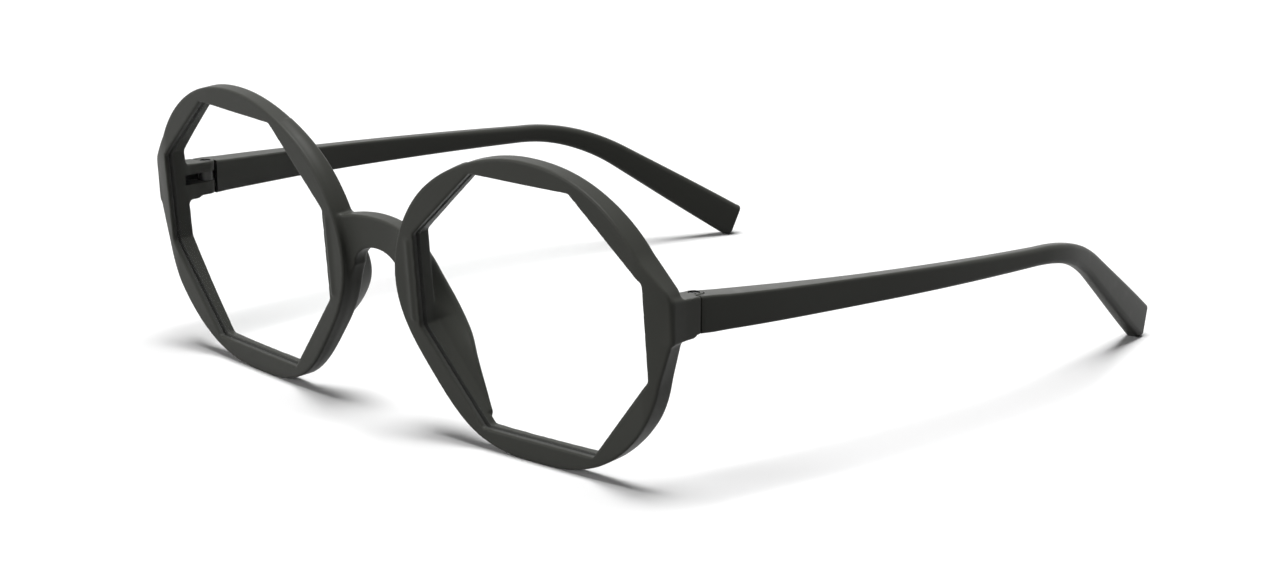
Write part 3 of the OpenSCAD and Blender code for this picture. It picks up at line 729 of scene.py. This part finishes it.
# %% The sweep's node tree
def ring_with_corners(tree, per_corner):
    """A circle whose points know their corner and their place on its arc."""
    ring = add(tree, "GeometryNodeCurvePrimitiveCircle",
               {"Resolution": calc(tree, "MULTIPLY", per_corner, 4), "Radius": MM}, mode="RADIUS")
    i = add(tree, "GeometryNodeInputIndex").outputs[0]
    quarter = calc(tree, "FLOOR", calc(tree, "DIVIDE", i, per_corner))
    part = calc(tree, "DIVIDE", calc(tree, "MODULO", i, per_corner), calc(tree, "SUBTRACT", per_corner, 1))
    angle = calc(tree, "MULTIPLY", calc(tree, "ADD", quarter, part), math.pi / 2)
    middle = calc(tree, "MULTIPLY", calc(tree, "ADD", quarter, 0.5), math.pi / 2)
    signs = combine(tree, *(calc(tree, "SIGN", calc(tree, turn, middle)) for turn in ("COSINE", "SINE")))
    arcs = combine(tree, *(calc(tree, turn, angle) for turn in ("COSINE", "SINE")))
    return store(tree, store(tree, ring.outputs["Curve"], "signs", signs), "arcs", arcs)


# %% [markdown]
# The tree itself: rail and ring make a tube, whose points are put in their places, and the last nodes make
# the geometry real and paint it.

# %% The sweep
def sweep_tree():
    tree = bpy.data.node_groups.new("swept_section", "GeometryNodeTree")
    socket(tree, "Path", "NodeSocketGeometry")
    socket(tree, "Points per corner", "NodeSocketInt", value=6)
    socket(tree, "Material", "NodeSocketMaterial")
    socket(tree, "Mesh", "NodeSocketGeometry", "OUTPUT")
    entry = add(tree, "NodeGroupInput")
    rail = add(tree, "GeometryNodeMeshToCurve", {"Mesh": entry.outputs["Path"]})
    profile = ring_with_corners(tree, entry.outputs["Points per corner"])
    sweep = sweep_mesh(tree, rail.outputs["Curve"], profile)
    half, sign, arc = [add(tree, "ShaderNodeSeparateXYZ", {0: stored(tree, name)}).outputs
                       for name in ("half", "signs", "arcs")]
    corner = stored(tree, "corner", "FLOAT")
    place = stored(tree, "middle")
    for n, name in enumerate(("across", "upward")):
        flat = calc(tree, "MULTIPLY", sign[n], calc(tree, "SUBTRACT", half[n], corner))
        amount = calc(tree, "ADD", flat, calc(tree, "MULTIPLY", arc[n], corner))
        inputs = {0: stored(tree, name), "Scale": amount}
        shift = add(tree, "ShaderNodeVectorMath", inputs, operation="SCALE").outputs[0]
        place = calc(tree, "ADD", place, shift, kind="ShaderNodeVectorMath")
    put = add(tree, "GeometryNodeSetPosition", {"Geometry": sweep, "Position": place})
    close_tree(tree, entry, put.outputs["Geometry"])
    return tree


# %% [markdown]
# A modifier runs the tree, and only its result is kept, without the values that guided it.

# %% Run the tree
SWEEP = sweep_tree()


def bake_tree(piece, tree, values):
    """Runs a node tree on the piece with these input values, and keeps the plain mesh."""
    nodes = piece.modifiers.new("nodes", "NODES")
    nodes.node_group = tree
    for item in tree.interface.items_tree:
        if item.item_type == "SOCKET" and item.in_out == "INPUT" and item.name in values:
            nodes[item.identifier] = values[item.name]
    keep_result(piece, nodes)


def outward(piece):
    """Points the faces outwards and joins doubled points."""
    bm = bmesh.new()
    bm.from_mesh(piece.data)
    bmesh.ops.remove_doubles(bm, verts=bm.verts, dist=1e-7)
    bmesh.ops.recalc_face_normals(bm, faces=bm.faces)
    bm.to_mesh(piece.data)
    bm.free()
    for name in ("signs", "arcs", "half", "corner", "middle", "across", "upward"):
        layer = piece.data.attributes.get(name)
        if layer:
            piece.data.attributes.remove(layer)
    piece.data.shade_smooth()


print("sweep tree:", len(SWEEP.nodes), "nodes")

# %% [markdown]
# Each station becomes a point of the polyline, with its values as attributes. The left temple is the same
# list mirrored.

# %% A temple's mesh
def placed(point):
    """From millimetres behind the front's plane to metres in the shared frame."""
    return (point - Vector((0, STAND_Y, 0))) * MM


def temple_piece(name, side):
    points, rows = [], {"middle": [], "across": [], "upward": [], "half": [], "corner": []}
    for top, bottom, across, half_x, corner in temple_path:
        flip = Vector((side, 1, 1))
        middle, span = (top + bottom) / 2 * flip, (top - bottom) * flip
        points.append(middle)
        rows["middle"].append(placed(middle))
        rows["across"].append(across * flip)
        rows["upward"].append(span.normalized())
        rows["half"].append(Vector((half_x, span.length / 2, 0)) * MM)
        rows["corner"].append(min(corner, half_x * 0.95) * MM)
    piece = new_piece(name, points, [])
    piece.data.edges.add(len(points) - 1)
    for n, edge in enumerate(piece.data.edges):
        edge.vertices = (n, n + 1)
    for key, values in rows.items():
        kind, field = ("FLOAT", "value") if key == "corner" else ("FLOAT_VECTOR", "vector")
        layer = piece.data.attributes.new(key, kind, "POINT")
        for item, value in zip(layer.data, values):
            setattr(item, field, value)
    bake_tree(piece, SWEEP, {"Points per corner": 7})
    outward(piece)
    return piece


# %% [markdown]
# The recess round the hinge's tines is cut, and so is the bore for the flex cartridge, which runs back from
# the hinge axis along its own line.

# %% Make and cut the temples
FLEX_YAW, HOUSING_FRONT, HOUSING_LENGTH, HOUSING_RADIUS = math.radians(9), 1.95, 9.4, 1.25
SLOT_MIDDLE = SLOT_BOTTOM + SLOT_HEIGHT / 2


def flex_place(side):
    """Carries a part drawn along +Z on to the flex cartridge's line."""
    along = Vector((side * math.sin(FLEX_YAW), math.cos(FLEX_YAW), 0))
    turn = Vector((0, 0, 1)).rotation_difference(along).to_matrix().to_4x4()
    return Matrix.Translation((side * AXIS_X, AXIS_Y, SLOT_MIDDLE)) @ turn


def moved(part, matrix):
    """The part's points and faces, carried by a matrix."""
    points, faces = part
    return [tuple(matrix @ Vector(p)) for p in points], faces


recess_radius, recess_low, recess_high = TINE_RADIUS + TINE_GAP, HINGE_BOTTOM - OVERCUT, HINGE_TOP + OVERCUT
recess = [
    rod(AXIS_X, AXIS_Y, recess_low, recess_high, recess_radius),
    block((INNER_X - 3, SEAM_Y - 1, recess_low), (AXIS_X, AXIS_Y + recess_radius, recess_high)),
    block((AXIS_X - 1, SEAM_Y - 1, recess_low), (AXIS_X + recess_radius, AXIS_Y, recess_high)),
    moved(rod(0, 0, 0, HOUSING_FRONT + HOUSING_LENGTH, HOUSING_RADIUS), flex_place(1)),
]
SIDES = {"right": 1, "left": -1}
temples = {}
for word, side in SIDES.items():
    piece = temple_piece("temple_%s_skin" % word, side)
    cutters = recess if side > 0 else [both_sides(c)[1] for c in recess]
    cut_away(piece, cutters, keep_sharp=35)
    temples[word] = piece
    print(piece.name, len(piece.data.polygons), "faces")

# %% [markdown]
# ## Lenses
#
# A lens is two shallow spheres inside an octagon, with a bevel round it that sits in the rim's groove.
# Rings of points from the middle out to the octagon's edge follow both spheres exactly, so reflections
# on it stay smooth.

# %% Lens outline
LENS_FRONT, LENS_BACK, LENS_EDGE, LENS_CLEARANCE = 300.0, 600.0, 1.4, 0.05


def rounded_octagon(grow, per_side=10, per_corner=7):
    """Points round the octagon, grown by an amount."""
    radius = APERTURE_CORNER + grow
    centres = INSET_OCTAGON
    points = []
    for n, (cx, cy) in enumerate(centres):
        before, after = centres[n - 1], centres[(n + 1) % 8]
        start = math.atan2(cy - before[1], cx - before[0]) - math.pi / 2
        end = math.atan2(after[1] - cy, after[0] - cx) - math.pi / 2
        turn = (end - start + math.pi) % (2 * math.pi) - math.pi
        for k in range(per_corner):
            a = start + turn * k / (per_corner - 1)
            points.append((cx + radius * math.cos(a), cy + radius * math.sin(a)))
        (ax, ay), bx, by = points[-1], after[0] + radius * math.cos(end), after[1] + radius * math.sin(end)
        for k in range(1, per_side):
            points.append((ax + (bx - ax) * k / per_side, ay + (by - ay) * k / per_side))
    return points


def rim_to_stand(x, y, z, side):
    """From a rim's own plane to the standing glasses."""
    fx, fy = RIM_X + x * math.cos(WRAP) - y * math.sin(WRAP), x * math.sin(WRAP) + y * math.cos(WRAP)
    up = RIM_Z + fy * math.sin(LEAN) + z * math.cos(LEAN)
    return side * fx, fy * math.cos(LEAN) - z * math.sin(LEAN), up


# %% [markdown]
# The rings run over the front, round the bevel and back over the rear. The bevel's faces take the second
# material slot, because that face is ground; that slot's dark colour is painted shade for the groove.

# %% Make the lenses
def sag(radius, r):
    """How far a sphere falls away at a distance r from its middle."""
    return radius - math.sqrt(radius * radius - r * r)


def lens_piece(name, side):
    """A lens from rings of points, closed at both middles."""
    reach = math.hypot(APERTURE_W / 2, SIDE_TOP)
    front_y = GROOVE_Y - LENS_EDGE / 2 - sag(LENS_FRONT, reach)
    back_y = GROOVE_Y + LENS_EDGE / 2 - sag(LENS_BACK, reach)
    edge, tip = rounded_octagon(-LENS_CLEARANCE), rounded_octagon(GROOVE_DEPTH - 2 * LENS_CLEARANCE)
    count, foot = 22, GROOVE_WIDTH / 2 - LENS_CLEARANCE

    def sphere_ring(k, middle_y, radius):
        return [(x * k, middle_y + sag(radius, math.hypot(x * k, z * k)), z * k) for x, z in edge]

    scales = [k / count for k in range(1, count + 1)]
    rings = [sphere_ring(k, front_y, LENS_FRONT) for k in scales]
    bevel = ((edge, -foot), (tip, 0), (edge, foot))
    rings += [[(x, GROOVE_Y + y, z) for x, z in ring] for ring, y in bevel]
    rings += [sphere_ring(k, back_y, LENS_BACK) for k in reversed(scales)]
    points = [p for ring in rings for p in ring] + [(0, front_y, 0), (0, back_y, 0)]
    n = len(edge)
    last = (len(rings) - 1) * n
    faces = [(j + i, j + (i + 1) % n, j + n + (i + 1) % n, j + n + i)
             for j in range(0, last, n) for i in range(n)]
    faces += [(len(points) - 2, (i + 1) % n, i) for i in range(n)]
    faces += [(len(points) - 1, last + i, last + (i + 1) % n) for i in range(n)]
    piece = new_piece(name, [rim_to_stand(*p, side) for p in points], faces)
    outward(piece)
    piece.data.set_sharp_from_angle(angle=math.radians(25))
    ground = range((count - 1) * n, (count + 4) * n)
    for face in piece.data.polygons:
        face.material_index = int(all(v in ground for v in face.vertices))
    return piece


lenses = {word: lens_piece("lens_%s_polished" % word, side) for word, side in SIDES.items()}
print("lens:", len(lenses["left"].data.polygons), "faces")

# %% [markdown]
# ## The springs
#
# A small coil spring in each cartridge pulls the temple shut. A helix is the plainest rule of all, so a
# short node tree makes it: a spiral curve, swept with a circle.

# %% Make the springs
SPRING_TURNS, WIRE_RADIUS, HOUSING_BORE, HOUSING_WALL, FLEX_TRAVEL = 9.0, 0.14, 0.95, 0.8, 1.2
STOP_LENGTH, STOP_INSET, ROD_CLEARANCE, COIL_CLEARANCE = 0.9, 0.3, 0.05, 0.05
SPRING_RADIUS = HOUSING_BORE - ROD_CLEARANCE - COIL_CLEARANCE - WIRE_RADIUS
SPRING_FRONT = HOUSING_FRONT + HOUSING_WALL
STOP_FRONT = HOUSING_FRONT + HOUSING_LENGTH - STOP_LENGTH - STOP_INSET
SPRING_LENGTH = STOP_FRONT - SPRING_FRONT


def coil_tree():
    tree = bpy.data.node_groups.new("coil_spring", "GeometryNodeTree")
    for name in ("Turns", "Coil radius", "Wire radius", "Length"):
        socket(tree, name, "NodeSocketFloat")
    socket(tree, "Material", "NodeSocketMaterial")
    socket(tree, "Mesh", "NodeSocketGeometry", "OUTPUT")
    entry = add(tree, "NodeGroupInput")
    turns, coil, thin, length = [entry.outputs[n] for n in range(4)]
    helix = add(tree, "GeometryNodeCurveSpiral", {
        "Resolution": 28, "Rotations": turns, "Start Radius": coil, "End Radius": coil, "Height": length})
    ring = add(tree, "GeometryNodeCurvePrimitiveCircle", {"Resolution": 12, "Radius": thin}, mode="RADIUS")
    close_tree(tree, entry, sweep_mesh(tree, helix.outputs["Curve"], ring.outputs["Curve"]))
    return tree


COIL = coil_tree()
springs = {}
for word, side in SIDES.items():
    piece = new_piece("flex_spring_%s_coil" % word, [(0, 0, 0)], [])
    bake_tree(piece, COIL, {
        "Turns": SPRING_TURNS, "Coil radius": SPRING_RADIUS * MM, "Wire radius": WIRE_RADIUS * MM,
        "Length": (SPRING_LENGTH - 2 * WIRE_RADIUS) * MM})
    shift = Matrix.Translation((0, 0, (SPRING_FRONT + WIRE_RADIUS) * MM))
    place = flex_place(side)
    place.translation = placed(place.translation)
    piece.data.transform(place @ shift)
    outward(piece)
    springs[word] = piece
print("spring:", len(springs["left"].data.polygons), "faces")

# %% [markdown]
# ## Finishes
#
# The frame is satin moulded plastic: charcoal with a faint olive cast, very slightly mottled, with the fine
# spark texture of the mould and soft sheen. Two effects are shared between materials, so each is a node
# group: a fine grain for the surface's height, and a slow mottling for colour and roughness.

# %% Shared effects
def effect_group(name, size_name, outputs):
    """An empty group that takes a place and a size, and its two end nodes."""
    group = bpy.data.node_groups.new(name, "ShaderNodeTree")
    socket(group, "Vector", "NodeSocketVector")
    socket(group, size_name, "NodeSocketFloat")
    for output in outputs:
        socket(group, output, "NodeSocketFloat", "OUTPUT")
    return group, add(group, "NodeGroupInput").outputs, add(group, "NodeGroupOutput")


def grain_group():
    """Fine texture: noise at a set size, mixed with a coarser one."""
    group, given, leave = effect_group("fine_grain", "Grains per metre", ["Height"])
    parts = []
    for scale, share in ((1.0, 0.6), (0.23, 0.4)):
        noise = add(group, "ShaderNodeTexNoise", {
            "Vector": given["Vector"], "Scale": calc(group, "MULTIPLY", given["Grains per metre"], scale),
            "Detail": 3.0, "Roughness": 0.6})
        parts.append(calc(group, "MULTIPLY", noise.outputs["Fac"], share))
    feed(group, leave, {"Height": calc(group, "ADD", *parts)})
    return group


def mottle_group():
    """Slow, soft variation between 0 and 1, and a sparse mask of rubbed spots."""
    group, given, leave = effect_group("slow_mottle", "Patches per metre", ["Cloud", "Rubbed"])
    patches = given["Patches per metre"]
    cloud = add(group, "ShaderNodeTexNoise", {"Vector": given["Vector"], "Scale": patches})
    spots = add(group, "ShaderNodeTexNoise", {
        "Vector": given["Vector"], "Scale": calc(group, "MULTIPLY", patches, 5), "Detail": 6.0})
    rubbed = add(group, "ShaderNodeMapRange", {
        "Value": spots.outputs["Fac"], "From Min": 0.55, "From Max": 0.75})
    feed(group, leave, {"Cloud": cloud.outputs["Fac"], "Rubbed": rubbed.outputs["Result"]})
    return group


GRAIN, MOTTLE = grain_group(), mottle_group()


# %% [markdown]
# A few helpers keep the finishes short: each finish is then one list of what goes into the shader.

# %% Helpers for finishes
def material(name):
    """A new material, its node tree and its shader."""
    made = bpy.data.materials.new(name)
    made.use_nodes = True
    return made, made.node_tree, made.node_tree.nodes["Principled BSDF"]


def effect(tree, group, size):
    """The outputs of a shared effect, laid in object coordinates at a size."""
    place = add(tree, "ShaderNodeTexCoord").outputs["Object"]
    return add(tree, "ShaderNodeGroup", {0: place, 1: size}, node_tree=group).outputs


def blend(tree, mask, low, high):
    """A value between low and high by a mask."""
    return add(tree, "ShaderNodeMapRange", {"Value": mask, "To Min": low, "To Max": high}).outputs["Result"]


def blend_colour(tree, mask, low, high):
    """A colour between low and high by a mask. A Mix node's colours are its inputs 6 and 7."""
    return add(tree, "ShaderNodeMix", {0: mask, 6: (*low, 1), 7: (*high, 1)}, data_type="RGBA").outputs[2]


def bump(tree, height, strength, distance):
    """A normal that follows a height."""
    inputs = {"Height": height, "Strength": strength, "Distance": distance}
    return add(tree, "ShaderNodeBump", inputs).outputs["Normal"]


print("shared effects:", GRAIN.name, MOTTLE.name)

# %% [markdown]
# Satin plastic reflects a broad, soft patch of the studio. The grain is far finer than a pixel of the main
# view, and only breaks up the sheen in close-ups. The colour barely moves, because pellets are coloured
# through.

# %% Moulded plastic
plastic, tree, shader = material("moulded_charcoal")
mottle, grain = effect(tree, MOTTLE, 70.0), effect(tree, GRAIN, 6500.0)
feed(tree, shader, {
    "Base Color": blend_colour(tree, mottle["Cloud"], (0.038, 0.039, 0.034), (0.047, 0.048, 0.042)),
    "Roughness": blend(tree, mottle["Rubbed"], 0.44, 0.37), "Specular IOR Level": 0.11,
    "Normal": bump(tree, grain["Height"], 0.1, 0.000012)})
print("plastic nodes:", len(tree.nodes))

# %% [markdown]
# Two matt finishes differ only in their tone and grain. A slot that was cut, or a bore that a core pin
# left, has no satin sheen; its near-black colour is painted shade for the deep inside of slots and bores,
# which makes the hinge's slot and the seams read clearly on the dark frame. The bevel round a lens is
# ground, not polished; its colour is painted shade too, the frame's dark tone for the groove that holds it.

# %% Matt finishes
def matt(name, low, high, roughness, specular, strength, distance):
    made, tree, shader = material(name)
    grain = effect(tree, GRAIN, 9000.0)["Height"]
    feed(tree, shader, {
        "Base Color": blend_colour(tree, grain, low, high), "Roughness": roughness,
        "Specular IOR Level": specular, "Normal": bump(tree, grain, strength, distance)})
    return made


# Painted shade: the cut faces are coloured near black for the shade deep inside the slots and bores.
cut_painted_shade = matt("cut_charcoal_painted_shade", (0.006, 0.006, 0.006), (0.016, 0.016, 0.015), 0.7, 0.04, 0.2, 0.00003)
# Painted shade: the lens bevel takes the frame's dark tone for the dark groove that holds it.
edge = matt("ground_edge_painted_shade", (0.035, 0.036, 0.033), (0.039, 0.04, 0.037), 0.6, 0.2, 0.1, 0.000006)
print("matt finishes:", cut_painted_shade.name, edge.name)

# %% [markdown]
# The lens is clear with an anti-reflection coating, so almost nothing shows on it. The coating takes away
# nearly all of the glass's own reflection, hence the low IOR, and leaves a dim, slightly green one. Real
# coated lenses cast hardly any shadow, so the lens pieces will be kept out of the shadow rays, and out of
# the scattered rays too, or the light that comes through them would be counted twice.

# %% Coated lens
glass, tree, shader = material("coated_lens")
smear = effect(tree, MOTTLE, 40.0)["Cloud"]
feed(tree, shader, {
    "Base Color": (1, 1, 1, 1), "Transmission Weight": 1.0, "IOR": 1.015, "Roughness": 0.0,
    "Coat Weight": blend(tree, smear, 0.0, 0.06), "Coat IOR": 1.2, "Coat Roughness": 0.03,
    "Coat Tint": (0.93, 1.0, 0.97, 1)})
print("lens nodes:", len(tree.nodes))

# %% [markdown]
# The hinge's small parts are turned steel, blackened so that they don't flash in the dark slot, and a
# little worn where they rub. The spring is bare drawn wire, and the insert is brass.

# %% Turned metals
def turned_metal(name, dark, light, roughness):
    made, tree, shader = material(name)
    mottle, grain = effect(tree, MOTTLE, 900.0), effect(tree, GRAIN, 22000.0)
    feed(tree, shader, {
        "Base Color": blend_colour(tree, mottle["Cloud"], dark, light), "Metallic": 1.0,
        "Roughness": blend(tree, mottle["Rubbed"], roughness, roughness * 0.7),
        "Normal": bump(tree, grain["Height"], 0.2, 0.00001)})
    return made


steel = turned_metal("blackened_steel", (0.022, 0.022, 0.021), (0.04, 0.04, 0.039), 0.4)
wire = turned_metal("spring_wire", (0.36, 0.36, 0.37), (0.50, 0.50, 0.51), 0.26)
brass = turned_metal("turned_brass", (0.56, 0.40, 0.18), (0.72, 0.54, 0.27), 0.34)
print("materials:", [m.name for m in bpy.data.materials])

# %% [markdown]
# ## Putting it together
#
# Each dressed piece hides the solid that it stands for, rides on its body and takes its finish. The
# screws, inserts, sliders, housings and stops keep their exact solids and only get their metal. When a
# temple is pulled back on its slider, the housing presses the spring against the stop. The spring is
# squashed towards the stop by the temple's travel, and a little more so that it stays clear.

# %% Ride, replace and paint
MOULDED, SLACK = [plastic, cut_painted_shade], 1.02


def dress(piece, paints, body, node):
    """Paints a piece, hides the solid that it replaces and puts it on the body that it rides on."""
    slots = piece.data.materials
    for place, paint in enumerate(paints):
        if place < len(slots):
            slots[place] = paint
        else:
            slots.append(paint)
    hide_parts(node)
    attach(piece, body)


def paint_node(name, paint):
    """Paints a solid that is shown as it is."""
    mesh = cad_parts[name].data
    mesh.materials.clear()
    mesh.materials.append(paint)


dress(front_skin, MOULDED, "front_body", "front")
for word, side in SIDES.items():
    dress(temples[word], MOULDED, "temple_%s_body" % word, "temple_%s" % word)
    lens = lenses[word]
    dress(lens, [glass, edge], "front_body", "lens_%s" % word)
    lens.visible_shadow = lens.visible_diffuse = lens.visible_glossy = False
    dress(springs[word], [wire], "slider_%s_body" % word, "flex_spring_%s" % word)
    line = flex_place(side)
    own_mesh(springs[word])
    for node in ("hinge_screw", "flex_slider", "flex_housing", "slider_stop"):
        paint_node("%s_%s" % (node, word), steel)
    paint_node("thread_insert_%s" % word, brass)

# %% [markdown]
# ## The studio
#
# A white floor and three wide sun lamps: one overhead, which drops the shadows straight down, one low in
# front, so that the front isn't black, and a weak one from behind, which draws a thin light line along the
# top edges. A sun lamp lights the whole floor alike, so it stays white to its far end. The floor is white
# where the camera, a reflection or a lens looks at it, and darker for light that has been scattered once.
# So a dark object keeps its dark underside, as it does in a big studio where the white paper is small.

# %% Floor and world
def seen_directly(tree):
    """1 where the camera looks, also by way of gloss or glass, and 0 once light has been scattered."""
    path = add(tree, "ShaderNodeLightPath").outputs
    clean = calc(tree, "MAXIMUM", path["Is Glossy Ray"], path["Is Transmission Ray"])
    looked = calc(tree, "MAXIMUM", path["Is Camera Ray"], clean)
    return calc(tree, "MULTIPLY", looked, calc(tree, "LESS_THAN", path["Diffuse Depth"], 0.5))


bpy.ops.mesh.primitive_plane_add(size=6, location=(0, 0, 0))
floor = bpy.context.object
floor.name = "floor"
white, tree, shader = material("white_floor")
feed(tree, shader, {
    "Roughness": 0.9, "Specular IOR Level": 0.0,
    "Base Color": blend_colour(tree, seen_directly(tree), (0.13, 0.13, 0.13), (0.9, 0.9, 0.9))})
floor.data.materials.append(white)

world = bpy.data.worlds.new("studio")
bpy.context.scene.world = world
world.use_nodes = True
tree = world.node_tree
feed(tree, tree.nodes["Background"], {
    "Color": (1, 1, 1, 1), "Strength": blend(tree, seen_directly(tree), 0.05, 1.0)})
print("floor and world:", white.name, world.name)

# %% [markdown]
# Each sun is set by where it shines from, how wide it is and how strong. The camera stands in front, to the
# right and a little above, far enough off for a long lens. The lens is given as the focal length in pixels
# of a picture 1270 pixels wide.

# %% Lights and camera
def soft_sun(name, shines_from, angle, strength):
    data = bpy.data.lights.new(name, "SUN")
    data.angle, data.energy = math.radians(angle), strength
    lamp = bpy.data.objects.new(name, data)
    lamp.rotation_euler = Vector(shines_from).to_track_quat("Z", "Y").to_euler()
    bpy.context.scene.collection.objects.link(lamp)


soft_sun("overhead", (0.0, 0.03, 1.0), 34, 3.7)
soft_sun("behind", (-0.5, 0.65, 0.25), 26, 0.2)
soft_sun("front_fill", (-0.3, -0.93, 0.08), 46, 2.5)

FOCAL_PIXELS, PICTURE_PIXELS, SENSOR = 3558, 1270, 36.0
camera = bpy.data.objects.new("camera", bpy.data.cameras.new("camera"))
camera.data.sensor_width = SENSOR
camera.data.lens = FOCAL_PIXELS / PICTURE_PIXELS * SENSOR
camera.data.clip_start, camera.data.clip_end = 0.01, 20
camera.location = (0.4616, -0.3692 - STAND_Y * MM, 0.17855)
target = Vector((-0.00006, (59.75 - STAND_Y) * MM - 0.00007, 0.0131 + 0.00016))
camera.rotation_euler = (target - camera.location).to_track_quat("-Z", "Y").to_euler()
bpy.context.scene.collection.objects.link(camera)
bpy.context.scene.camera = camera
bpy.context.scene.view_settings.view_transform = "Standard"
print("camera at", [round(v, 4) for v in camera.location])
